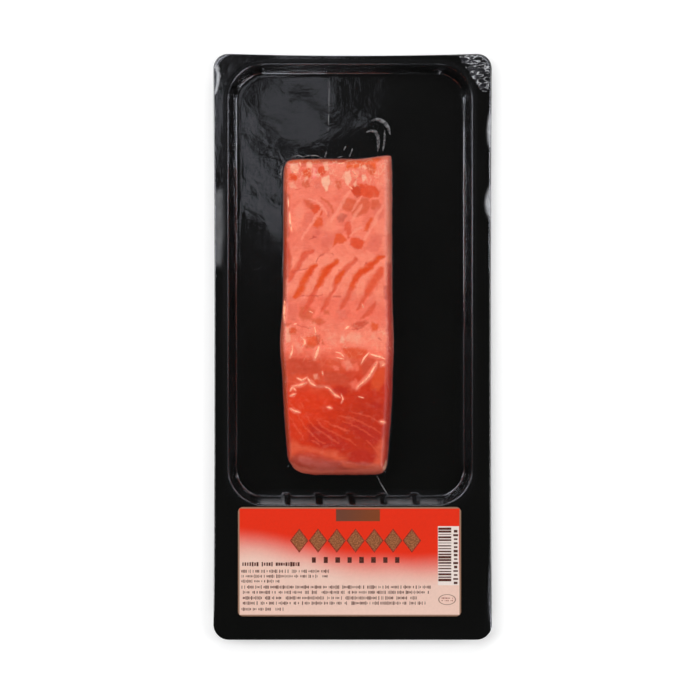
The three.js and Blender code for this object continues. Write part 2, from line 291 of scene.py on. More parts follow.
def section_rings():
    """The tray's rings from its edge to the floor's middle: (share out to the edge or in to the middle, inset, z)."""
    rim = [(share, WALL_SPAN[0], RIM - band_drop(share)) for share in RIM_SHARES]
    wall = [(0, inset, z) for inset, z in well_wall()]
    floor = [(-share, WALL_SPAN[1], FLOOR) for share in FLOOR_SHARES]
    return rim + wall + floor


def tray_tree():
    """The formed sheet: a grid whose rows follow the section in, and whose columns run round the well."""
    nodes, given = geometry_tree("Formed tray", {
        "Pack Width": "Float", "Pack Length": "Float", "Pack Corner": "Float", "Side Bow": "Float",
        "End Bow": "Float", "Well Width": "Float", "Well Length": "Float", "Well Corner": "Float",
        "Well Centre": "Vector", "Places Round": "Int", "Rings": "Int", "Section": "Object",
        "Wall Run": "Float", "Rib Pitch": "Float", "Rib Count": "Int", "Rib Depth": "Float",
        "Rib Half Top": "Float", "Rib Half Foot": "Float", "Material": "Material",
    })
    here = nodes.add("GeometryNodeInputPosition")

    def outline(width, length, corner, centre):
        """A rounded rectangle as a line of evenly spaced points."""
        box = nodes.add("GeometryNodeCurvePrimitiveQuadrilateral", None, {"Width": width, "Height": length})
        sockets = {"Curve": box, "Radius": corner, "Count": CORNER_PLACES, "Limit Radius": True}
        curve = nodes.add("GeometryNodeFilletCurve", {"mode": "POLY"}, sockets)
        sockets = {"Curve": curve, "Count": given["Places Round"]}
        even = nodes.add("GeometryNodeResampleCurve", {"mode": "COUNT"}, sockets)
        return nodes.add("GeometryNodeSetPosition", None, {"Geometry": even, "Offset": centre})

    sockets = {"Size X": 1.0, "Size Y": 1.0, "Vertices X": given["Places Round"] + 1, "Vertices Y": given["Rings"]}
    sheet = nodes.add("GeometryNodeMeshGrid", None, sockets, "Mesh")
    round_share, ring_share, _ = nodes.axes(sheet.other("UV Map"))

    well = outline(given["Well Width"], given["Well Length"], given["Well Corner"], given["Well Centre"])
    pack = outline(given["Pack Width"], given["Pack Length"], given["Pack Corner"], (0, 0, 0))

    def along(curve, out):
        """What a line has at each place round it: its position or its direction."""
        settings = {"mode": "FACTOR", "data_type": "FLOAT_VECTOR", "use_all_curves": True}
        return nodes.add("GeometryNodeSampleCurve", settings, {"Curves": curve, "Factor": round_share}, out)

    on_well = along(well, "Position")
    inward = nodes.vectors("CROSS_PRODUCT", (0, 0, 1), along(well, "Tangent"))
    on_pack = along(pack, "Position")

    # The film's pull bows the pack's long sides and far end in a little.
    pack_x, pack_y, _ = nodes.axes(on_pack)
    side_share = 1 - (pack_y / (given["Pack Length"] * 0.5)) ** 2
    end_share = 1 - (pack_x / (given["Pack Width"] * 0.5)) ** 2
    bowed_x = pack_x - given["Side Bow"] * side_share * pack_x.math("SIGN", pack_x)
    bowed_y = pack_y - given["End Bow"] * end_share * (pack_y > 0)
    edge = nodes.add("ShaderNodeCombineXYZ", None, {"X": bowed_x, "Y": bowed_y})

    # Each ring reads its place from the section.
    settings = {"transform_space": "ORIGINAL"}
    info = nodes.add("GeometryNodeObjectInfo", settings, {"Object": given["Section"]}, "Geometry")
    ring = ring_share * (given["Rings"] - 1) + 0.5
    ring = ring.math("FLOOR", ring)
    settings = {"data_type": "FLOAT_VECTOR", "domain": "POINT"}
    ring_at = nodes.add("GeometryNodeSampleIndex", settings, {"Geometry": info, "Value": here, "Index": ring})
    share, inset, height = nodes.axes(ring_at)
    step_in = nodes.add("ShaderNodeVectorMath", {"operation": "SCALE"}, {"Vector": inward, "Scale": inset})
    base = nodes.vectors("ADD", on_well, step_in)
    out_share = share.math("MAXIMUM", share, 0.0)
    in_share = share.math("MAXIMUM", share * -1, 0.0)
    place = nodes.mixed(out_share, base, edge, "VECTOR")
    place = nodes.mixed(in_share, place, given["Well Centre"], "VECTOR")

    # The buttresses push the label end's wall in, most at its foot.
    place_x, place_y, _ = nodes.axes(place)
    well_x, well_y, _ = nodes.axes(given["Well Centre"])
    _, outline_y, _ = nodes.axes(on_well)
    foot = (inset / given["Wall Run"]).clamped() * (1 - in_share * RIB_FADE).clamped()
    from_middle = place_x - well_x
    pitch = given["Rib Pitch"]
    nearest = abs(pitch.math("PINGPONG", from_middle, pitch * 0.5))
    half = given["Rib Half Top"] + (given["Rib Half Foot"] - given["Rib Half Top"]) * foot
    stands = ((half - nearest) / RIB_SOFTNESS + 0.5).clamped()
    within = abs(from_middle) < pitch * given["Rib Count"] * 0.5
    label_side = outline_y < well_y - given["Well Length"] * 0.5 + END_SLACK
    push = given["Rib Depth"] * foot * stands * within * label_side
    final = nodes.add("ShaderNodeCombineXYZ", None, {"X": place_x, "Y": place_y + push, "Z": height})

    shaped = nodes.add("GeometryNodeSetPosition", None, {"Geometry": sheet, "Position": final})
    closed = nodes.add("GeometryNodeMergeByDistance", None, {"Geometry": shaped, "Distance": SAME_PLACE})
    end_tree(nodes, closed, given["Material"])
    return nodes


def new_material(name):
    """A material, with its node tree and the sockets of its shader."""
    material = bpy.data.materials.new(name)
    material.use_nodes = True
    return material, Nodes(material.node_tree), material.node_tree.nodes["Principled BSDF"].inputs


def black_plastic():
    """Glossy black sheet: nearly black, with faint flow marks in its gloss."""
    material, nodes, shader = new_material("Black tray plastic")
    spot = nodes.add("ShaderNodeTexCoord", out="Object")
    flow = nodes.noise(spot, 35, 3)
    grain = nodes.noise(spot, 2600, 2)
    plug(shader["Base Color"], nodes.mixed(flow, (0.0022, 0.0024, 0.0022, 1), (0.0042, 0.0042, 0.0038, 1)))
    plug(shader["Roughness"], 0.14 + 0.1 * flow)
    plug(shader["IOR"], 1.5)
    plug(shader["Normal"], nodes.bump(flow + grain * 0.03, 0.25, 0.6 * mm))
    return material


def curve_through(name, points):
    """An open line of straight pieces as a curve object."""
    line = bpy.data.curves.new(name, "CURVE")
    line.dimensions = "3D"
    spline = line.splines.new("POLY")
    spline.points.add(len(points) - 1)
    for point, place in zip(spline.points, points):
        point.co = (*place, 1)
    return as_object(name, line)


rings = section_rings()
section = curve_through("tray_section", rings)
tray = grown("formed_tray", tray_tree(), {
    "Pack Width": PACK_SIZE[0], "Pack Length": PACK_SIZE[1], "Pack Corner": PACK_CORNER,
    "Side Bow": PACK_BOW[0], "End Bow": PACK_BOW[1], "Well Width": WELL_SIZE[0], "Well Length": WELL_SIZE[1],
    "Well Corner": WELL_CORNER, "Well Centre": (*WELL_CENTRE, 0), "Places Round": PLACES_ROUND,
    "Rings": len(rings), "Section": section, "Wall Run": WALL_RUN, "Rib Pitch": RIB_PITCH,
    "Rib Count": RIB_COUNT, "Rib Depth": RIB_DEPTH, "Rib Half Top": RIB_HALF_WIDTH[0],
    "Rib Half Foot": RIB_HALF_WIDTH[1], "Material": black_plastic(),
}, sheet=SHEET)
bpy.data.objects.remove(section)
smoothed(tray)
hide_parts("tray")
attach(tray, "root")

# ---- Fillet -------------------------------------------------------------------------------------------------
# A cut of salted trout, skin side down: a slab of orange-red flesh with rounded edges and a slanting cut face at
# the label end. Slanting gaps part the flakes of its paler far half, and thin pale sinew crosses the near half.

FILLET_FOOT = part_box("fillet")[0][2]
FILLET_SIZE = np.array((51.8, 151.5)) * mm
FILLET_CENTRE = np.array((-7.2, 14.2)) * mm
FILLET_THICKNESS = 18.6 * mm
CORNER_PULL = 1.7 * mm
CORNER_POWERS = (10, 28)  # how tightly the pull keeps to the corners, across and along
FAR_RIGHT_PULL = 0.3  # share of the pull that the far right corner has
NARROWING = 2.4 * mm
SIDE_BULGE = 1.5 * mm
BULGE_PLACE = (-0.17, 0.2)  # its middle and reach, as shares of the half length
RAISED_CORNER = 2.2 * mm  # how much further the far right corner reaches
NEAR_CORNER_CUT = 3.2 * mm  # how far the cut face's left corner is trimmed back
CUT_START = 0.42  # share of the way to the left side where the trimming begins
COMES_IN = {  # shares of the half width or half length between which each of these comes in
    "narrowing": (0.45, 1.05), "raised_across": (0.3, 1.1), "raised_along": (0.8, 1), "trimmed": (0.85, 1),
    "far_crown": (0.2, 1), "near_crown": (0.3, 1),
}
EDGE_SHARE = 0.42  # share of the thickness that stands upright at the outline
EDGE_RUNS = {"left": 2.8 * mm, "right": 4 * mm, "far": 4 * mm, "slant": 11 * mm}
SLANT_RIGHT = 0.55  # the slanting face is shorter on the right by this share
CROWN = {"across": 0.07, "far": 0.06, "near": 0.04}
SIDE_LEVELS = (0.92, 0.84, 0.75, 0.65, 0.54, 0.43, 0.32, 0.21, 0.1, 0.03, 0.015, 0)
SIDE_BELLY = ((0, 0.015, 0.1, 0.3, 0.55, 0.8, 1), (-0.9, -0.5, 0.0, 0.3, 0.35, 0.2, 0.0))  # level, mm out
RIND_SHARE = ((0, 0.03, 0.1, 0.2, 0.4), (1, 0.95, 0.6, 0.2, 0))  # level, share of the skin's tone
EDGE_BAND = 4.6 * mm  # the bands along the long edges and the ends in which the mesh is finer
END_BAND = 12 * mm
FLESH_STEPS = {"across": (16, 164), "along": (34, 340)}  # in such a band, and between the two
UPPER_FACE = FILLET_FOOT + np.array((13, 16)) * mm  # relief fades in between these heights
WAVE_COUNT = 24
GAP_DEPTH = 0.22  # in millimetres, like the two below
UNEVENNESS = (0.10, 0.05)
SUNK = 0.15

# How the flesh's tones are laid: flat shades in uneven flakes, and pale highlights painted where the film is creased.
TONE_BLEND = 12 * mm  # from the middle to each side's own run of tones
FLAKES = ((0.6, 51, (9 * mm, 4 * mm), 0.95), (0.5, 52, (4 * mm, 3 * mm), 2.2))  # share, seed, size, turn
FLAKE_TINT = np.array((0.06, 0.16, 0.17))  # how much a flake's shade changes red, green and blue
PATCH_SOFTNESS = 1.4
CREASED_FAR = (74 * mm, 80 * mm)
CREASED_FURROW = (3 * mm, 9 * mm)  # its middle and reach
# The halo is a painted highlight on the flesh beside each fold.
HALO = (0.8, 2.8)  # beside a fold: share of the pale tone, width in half widths of the fold

# The camera's view, which the places of the flesh's marks are read in.
PIXELS = 700
FRAME_SPAN = 0.336  # how much of the rim's level the photograph takes in, side to side
FRAME_CENTRE = np.array((-1.27, -1.68)) * mm
LENS = 100
SENSOR = 36
EYE = RIM + FRAME_SPAN * LENS / SENSOR
FILLET_TOP = FILLET_FOOT + FILLET_THICKNESS

FLESH = {  # sRGB
    "salmon": (245, 124, 98), "clay": (222, 91, 54), "deep": (228, 70, 12), "rust": (208, 62, 22),
    "dusk": (210, 96, 74), "glow": (231, 80, 20), "dull": (232, 110, 88), "amber": (238, 94, 34),
    "rose": (255, 122, 118), "blush": (253, 140, 112), "rosy": (250, 121, 95), "brick": (208, 72, 42),
    "ember": (224, 78, 30), "crimson": (190, 38, 16), "scarlet": (225, 56, 8), "orange": (226, 92, 58),
    "umber": (196, 70, 48), "mauve": (206, 90, 74), "gap": (229, 88, 56), "line": (206, 72, 50),
    "pale": (255, 155, 128), "seam": (232, 92, 62), "painted_glint": (255, 198, 166), "edge": (208, 54, 38),
    "rind": (188, 70, 32), "skin": (92, 80, 70), "mid": (220, 78, 44), "red": (211, 49, 4),
    "wine": (196, 44, 4), "cut": (190, 66, 44),
}
# How the tone runs along the cut, on its left and on its right: (pixel row, tone).
LEFT_RUN = [
    (150, "salmon"), (245, "salmon"), (262, "blush"), (290, "blush"), (300, "salmon"), (312, "rosy"), (330, "salmon"),
    (348, "rosy"), (362, "mid"), (378, "mid"), (400, "scarlet"), (450, "red"), (458, "cut"), (480, "cut"),
]
RIGHT_RUN = [
    (150, "salmon"), (245, "salmon"), (262, "blush"), (290, "blush"), (302, "salmon"), (314, "rosy"), (336, "blush"),
    (352, "rosy"), (364, "mid"), (384, "red"), (410, "wine"), (460, "wine"), (468, "cut"), (480, "cut"),
]
# Patches of flesh, in pixels: tone, softness of the edge in mm, share of the tone, corners.
PATCHES = [
    ("deep", 0.35, 0.85, (350, 187), (356, 183.5), (368, 184), (376, 187), (380, 191.5), (378.5, 196.5), (370, 197.5),
     (361, 196), (353, 193.5)),
    ("rust", 0.3, 0.85, (350, 187), (356, 184.5), (360, 187), (361, 195), (357, 198), (353, 193)),
    ("deep", 0.4, 0.85, (310, 204), (318, 205), (323, 209), (322, 214.5), (316, 215.5), (311, 209.5)),
    ("clay", 0.5, 0.85, (341, 201), (348, 198), (356, 199.5), (358.5, 205), (353, 212), (346, 211.5), (341, 208)),
    ("clay", 0.5, 0.85, (357, 207), (361.5, 197.5), (369, 198), (371.5, 204), (367.5, 212), (361, 216), (353, 217),
     (351, 213)),
    ("clay", 0.4, 0.85, (371, 199), (379, 200), (381, 205), (376, 211), (371, 208)),
    ("dusk", 0.4, 0.85, (336.5, 217), (341.5, 213), (347, 215.5), (344, 221), (338, 223)),
    ("glow", 0.3, 0.85, (333, 246), (334.5, 234), (341, 233), (346.5, 240), (342.5, 243.5), (336.5, 243.5)),
    ("deep", 0.3, 0.85, (350, 238.5), (360, 238), (364.5, 241), (361.5, 249.5), (356, 248), (350, 245)),
    ("dull", 0.5, 0.7, (371, 234.5), (383, 233), (381, 244), (378, 251.5), (370, 252.5), (366, 248.5)),
    ("dull", 0.5, 0.7, (374.5, 208), (383, 204), (384, 216), (378, 220), (374, 215)),
    ("clay", 0.4, 0.85, (304, 199.5), (309, 201), (315, 207), (311.5, 210), (306, 205.5)),
    ("glow", 0.5, 0.85, (365.5, 224), (370.5, 217), (375, 219), (372.5, 226), (368, 232), (363, 231)),
    ("dull", 0.5, 0.7, (324.5, 230), (333.5, 231), (331.5, 239), (325, 238.5)),
    ("dull", 0.5, 0.7, (303, 213), (310, 211), (315, 216), (312, 223), (306, 222)),
    ("dull", 0.5, 0.7, (312, 233), (319, 228), (323, 232), (318, 239), (311, 238)),
    ("glow", 0.5, 0.85, (316, 217), (322, 216.5), (323, 225), (317, 228), (313, 224)),
    ("clay", 0.4, 0.85, (335, 180.5), (340, 180), (342.5, 187), (339, 189.5), (335, 187)),
    ("dull", 0.4, 0.7, (314, 182), (320.5, 181), (321, 188), (315, 188.5)),
    ("dull", 0.6, 0.7, (322, 238), (335, 236), (331, 247), (320, 246)),
    ("glow", 0.35, 0.85, (286.5, 174), (292, 172), (298, 176), (296, 181), (290, 180), (287, 178)),
    ("deep", 0.3, 0.85, (290, 174.5), (296, 175.5), (294, 179), (290, 178)),
    ("clay", 0.3, 0.85, (299, 161.5), (306, 160.5), (306, 165), (301, 167.5)),
    ("glow", 0.3, 0.85, (302.5, 169.5), (308, 167.5), (311, 172), (309, 178), (304, 177)),
    ("clay", 0.3, 0.85, (311, 160.5), (321, 160.5), (319, 164), (312, 164.5)),
    ("deep", 0.3, 0.85, (317.5, 168), (323, 166), (326, 170), (322, 176), (318.5, 174)),
    ("clay", 0.3, 0.85, (302, 181.5), (309, 180), (310, 186), (305, 188.5), (301.5, 186)),
    ("dull", 0.35, 0.7, (331, 160.3), (345, 159.8), (345, 163), (332, 163.2)),
    ("amber", 0.4, 0.95, (346, 161), (356, 160), (368, 160), (377, 156.5), (382, 158), (376, 163), (377, 170),
     (373, 176), (368, 172), (366, 166), (352, 167), (346, 170)),
    ("clay", 0.3, 0.85, (366.5, 164), (371.5, 163), (374.5, 169), (373, 175.5), (368.5, 173)),
    # Painted highlight: a pinkish glint of the film.
    ("rose", 0.4, 0.85, (312, 168.5), (317, 168), (317.5, 176), (313, 179)),
    ("blush", 0.5, 0.75, (329, 163.5), (342.5, 164), (343, 175), (336, 178.5), (330, 175)),
    ("blush", 0.5, 0.75, (376.5, 163), (384, 159.5), (387.5, 168), (388, 182), (380, 181), (374.5, 176)),
    ("blush", 0.6, 0.75, (330.5, 178), (335, 178), (335.5, 187), (332.5, 190), (330, 185)),
    ("blush", 0.8, 0.75, (376, 222), (386.5, 220), (387, 250), (381, 250), (381.5, 234), (374, 232)),
    ("blush", 0.7, 0.75, (296, 205), (302, 199), (306, 211), (300, 226), (293, 232), (292, 215)),
    ("blush", 0.8, 0.75, (326, 222), (336, 213), (336, 224), (344, 226), (333, 233), (322, 229)),
    ("blush", 0.6, 0.75, (293, 262), (296, 252), (302, 246), (302, 252), (297, 263), (293, 270)),
    ("blush", 0.5, 0.75, (303, 262), (311, 256.5), (316, 256.5), (312, 264), (305, 270), (299, 269)),
    ("blush", 0.5, 0.75, (318, 262), (326, 254), (333, 256), (331, 262), (322, 266)),
    ("blush", 0.5, 0.75, (296, 273), (304, 271.5), (302, 280), (297, 289), (291, 293), (288, 288)),
    ("blush", 0.5, 0.75, (312.5, 273), (319, 272), (317, 281), (313, 290), (307, 293), (305, 287)),
    ("blush", 0.5, 0.75, (327, 275), (335, 273), (331, 284), (327, 293), (320, 293), (321, 284)),
    ("blush", 0.5, 0.75, (343, 279), (350, 272), (354, 273), (351, 282), (345, 290), (340, 291)),
    ("blush", 0.5, 0.75, (362, 279), (370, 271.5), (375.5, 272), (369, 281), (364, 291), (358, 293), (358, 286)),
    ("blush", 0.6, 0.75, (337, 258), (348, 255), (346, 262), (339, 267), (334, 268)),
    ("blush", 0.6, 0.75, (358, 254), (372, 255), (369, 261), (361, 266), (355, 268), (357, 260)),
    ("rosy", 0.6, 0.7, (306, 298), (313, 299.5), (320, 297), (324, 297), (320, 305), (313, 309), (306, 306)),
    ("rosy", 0.6, 0.7, (330, 300), (341, 298.5), (337, 307), (331, 311), (327, 307)),
    ("rosy", 0.6, 0.7, (348, 302), (357, 300), (353, 308), (347, 312), (343, 309)),
    ("dull", 0.6, 0.7, (287, 303), (296, 304), (298, 311), (297, 320), (288, 321)),
    ("clay", 0.7, 0.85, (300, 307), (309, 304), (314, 311), (311, 320), (303, 321), (298, 316)),
    ("clay", 0.5, 0.85, (322, 308.5), (330, 311), (329.5, 315), (324, 314)),
    ("dull", 0.6, 0.7, (336, 310), (346, 311), (348, 318), (338, 318.5)),
    ("brick", 0.5, 0.85, (351.5, 325), (358, 322), (365, 320.5), (369, 323.5), (364, 327), (356, 328.5)),
    ("clay", 0.5, 0.85, (311, 319), (320, 317.5), (326, 321), (319, 325.5), (312, 323)),
    ("glow", 0.5, 0.85, (371, 322), (379, 324), (377, 331), (371.5, 331)),
    ("ember", 0.3, 0.85, (288, 328), (296, 328), (296.5, 334.5), (288, 334.5)),
    ("glow", 0.6, 0.85, (301, 337), (313, 336), (320, 337), (319, 345), (311, 346.5), (304, 345)),
    ("brick", 0.4, 0.85, (316, 334.5), (319, 335), (319, 344), (316.5, 345)),
    ("clay", 0.5, 0.85, (305, 344), (315, 345), (313, 348.5), (306, 348)),
    ("blush", 0.8, 0.75, (348.5, 331.5), (361.5, 331.5), (362, 340), (361, 346), (354, 345.5), (349, 342)),
    ("blush", 0.8, 0.75, (325, 331), (337, 331.5), (338.5, 340), (337, 345.5), (328, 344)),
    ("blush", 0.7, 0.75, (376, 333), (385.5, 331), (386, 350), (378, 349.5), (374.5, 342)),
    ("blush", 0.5, 0.75, (289.5, 336.5), (297, 336), (298, 343), (293, 346), (289.5, 341)),
    ("rosy", 0.7, 0.7, (306, 349), (313, 349), (313, 356), (308, 356)),
    ("brick", 0.6, 0.85, (285.5, 359), (296, 358.5), (312, 359), (320, 362), (321, 372), (305, 374), (288, 374),
     (284.5, 366)),
    ("ember", 0.7, 0.85, (342, 348.5), (352, 347.5), (367, 349.5), (368, 353), (362, 359), (351, 359), (345, 355)),
    ("brick", 0.7, 0.85, (361, 363), (368, 357.5), (374, 358.5), (376, 363), (370, 372), (362, 375)),
    ("rosy", 0.5, 0.7, (341, 360.5), (347, 359.5), (352, 364), (355, 370), (349, 371.5), (343, 368)),
    ("rosy", 0.5, 0.7, (353, 364), (358, 362), (359, 370), (355.5, 371.5)),
    ("rosy", 0.4, 0.7, (333, 364.5), (338, 366), (339, 370.5), (334, 371)),
    ("brick", 0.8, 0.85, (322, 372), (345, 374), (352, 380), (350, 390), (340, 385), (326, 384)),
    ("crimson", 0.8, 0.8, (330.5, 389), (338, 386), (346, 388), (349, 392), (344, 396), (337, 393)),
    ("rosy", 0.6, 0.7, (349.5, 383), (356, 379), (361, 385), (358, 391), (351, 390)),
    ("ember", 0.9, 0.85, (372, 372), (384, 367), (386, 380), (379, 391), (371, 388)),
    ("scarlet", 0.9, 0.85, (288, 402), (296, 393), (308, 391), (318, 395), (322, 404), (312, 411), (298, 410)),
    ("crimson", 0.8, 0.8, (370.5, 404), (377, 402.5), (383, 405), (379, 409), (373, 408.5)),
    ("crimson", 1.2, 0.8, (309, 425), (320, 424), (330, 432), (343, 440), (352, 447), (345, 450), (330, 449),
     (318, 448), (308, 440)),
    ("crimson", 1.0, 0.8, (346, 424), (358, 421), (371, 428), (381, 436), (383, 443), (372, 444), (358, 436)),
    ("crimson", 1.0, 0.8, (350, 452), (362, 449), (375, 455), (375, 462), (362, 463), (350, 460)),
    ("scarlet", 1.0, 0.85, (291, 416), (303, 412), (312, 418), (306, 425), (296, 425)),
    ("orange", 1.2, 0.85, (288, 446), (293, 440), (303, 446), (318, 449), (336, 452), (346, 459), (340, 462),
     (328, 458), (318, 453.5), (305, 452), (296, 453), (291, 460)),
    ("orange", 1.0, 0.85, (375, 447), (384, 438), (388, 449), (385, 461), (380, 470), (372, 466), (378, 458)),
    ("umber", 0.7, 0.85, (297, 454.5), (310, 453.5), (320, 457), (332, 461), (340, 466), (344, 472), (330, 474),
     (315, 473), (300, 469.5), (292, 463)),
    ("mauve", 0.6, 0.85, (299, 456), (307, 455.5), (312, 459), (311, 465), (303, 465), (298, 461)),
    ("mauve", 0.7, 0.85, (312, 463), (325, 463), (336, 468), (334, 472), (318, 471)),
    ("orange", 0.6, 0.85, (338, 460), (350, 462), (360, 465), (372, 465), (376, 462), (380, 464), (377, 469),
     (362, 470), (350, 469), (341, 465)),
    ("umber", 0.5, 0.85, (346, 470.5), (362, 471), (378, 470), (377, 474), (350, 474.5)),
    # Painted light: the foot of the slanting cut face is painted brighter, against the shade that falls there.
    ("salmon", 0.8, 0.75, (290, 463), (300, 468.5), (316, 471), (344, 471), (372, 469), (385, 467), (387, 474),
     (300, 474.5), (291, 470)),
    # Painted shade: a darker red band down the right side, which turns away from the light.
    ("edge", 0.9, 0.8, (387.5, 262), (392, 262), (395, 352), (394, 400), (390, 443), (386, 461), (383, 461), (386, 443),
     (388, 400), (387.5, 352), (387, 330)),
    ("rind", 0.7, 0.8, (282, 209), (285.5, 209), (285.5, 278), (283.5, 312), (283, 346), (286, 369), (287, 403),
     (288, 426), (289, 447), (284, 443), (281, 403), (279, 346), (279, 312)),
    ("amber", 0.5, 0.85, (287, 158.5), (300, 157.5), (349, 158), (349, 162), (322, 163), (290, 162.5)),
    ("amber", 0.6, 0.55, (284, 165), (288.5, 165), (289.5, 200), (288.5, 262), (284.5, 262)),
    ("rust", 0.6, 0.75, (283, 236), (289, 244), (291, 256), (291.5, 268), (288.5, 277), (283, 280)),
    ("rind", 0.5, 0.55, (283, 190), (288.5, 194), (289, 236), (283, 240)),
    # Painted light: the right edge is painted paler here, against the shade that falls on the side.
    ("pale", 0.7, 0.6, (384.5, 178), (390, 178), (390.5, 206), (390, 232), (386, 234), (385, 206)),
    ("umber", 0.3, 0.6, (318, 158.5), (346, 158), (346, 160.5), (320, 161)),
    ("brick", 0.4, 0.6, (383, 286), (389, 285), (390, 298), (385, 300)),
    # Painted highlights: pale glints of the film's crinkled facets, laid on the flesh as patches.
    ("painted_glint", 0.3, 0.55, (291, 164), (297, 162.5), (300, 168), (298, 172.5), (292, 171.5), (290, 168)),
    ("painted_glint", 0.3, 0.6, (307, 160.8), (311.5, 161), (312.5, 167.5), (309, 168.5), (306, 165)),
    ("painted_glint", 0.3, 0.5, (322.5, 161.5), (327.5, 161), (328.5, 168), (325, 170)),
    ("painted_glint", 0.25, 0.75, (321, 178), (329, 175), (330, 181), (328, 189.5), (325.5, 190), (322, 183)),
    ("painted_glint", 0.25, 0.65, (344, 172), (350, 171), (351, 178), (348, 186.5), (346, 184), (344, 177)),
    ("painted_glint", 0.25, 0.6, (353.5, 182), (357, 180.5), (357.5, 185), (354.5, 186.5)),
    ("painted_glint", 0.25, 0.7, (361.5, 175.5), (365, 174), (366.5, 178), (363, 181)),
    ("painted_glint", 0.25, 0.65, (362, 165), (366, 164.3), (368, 168), (364.5, 169.5)),
    ("painted_glint", 0.3, 0.4, (304, 177), (307, 175.5), (308, 179), (305, 182)),
    ("painted_glint", 0.3, 0.35, (312.5, 168), (316, 168), (316, 175), (313, 176)),
    ("painted_glint", 0.4, 0.35, (288, 183.5), (293, 182), (297, 187), (291, 188)),
    ("painted_glint", 0.3, 0.3, (353, 169), (359, 170), (358, 176), (353.5, 175)),
    ("painted_glint", 0.3, 0.45, (285.5, 326.5), (289, 326.5), (290, 335), (289.5, 343), (286, 343), (285.5, 336)),
    ("painted_glint", 0.4, 0.35, (313, 374.5), (318, 373.5), (319, 378), (314.5, 380)),
    ("painted_glint", 0.3, 0.6, (340.8, 337), (343, 335.5), (344.5, 340), (343.5, 343.5), (340.5, 342.5)),
    ("painted_glint", 0.5, 0.25, (309, 379), (314, 382), (317, 387), (311, 384.5)),
    ("painted_glint", 0.5, 0.2, (343, 361), (349, 360), (353, 367), (347, 370.5)),
    ("painted_glint", 0.5, 0.2, (317, 385.5), (329, 385.5), (330, 388), (318, 388)),
    ("painted_glint", 0.6, 0.2, (295, 343), (300, 343), (303, 352), (297, 354)),
    ("painted_glint", 0.3, 0.3, (379, 360), (384, 361), (386, 365), (380, 366.5)),
    ("painted_glint", 0.6, 0.2, (350, 332.5), (360, 333), (360, 343), (351, 342)),
    ("painted_glint", 0.2, 0.75, (382.5, 471.5), (385.5, 460.5), (387, 460.5), (388, 471), (386, 472)),
]
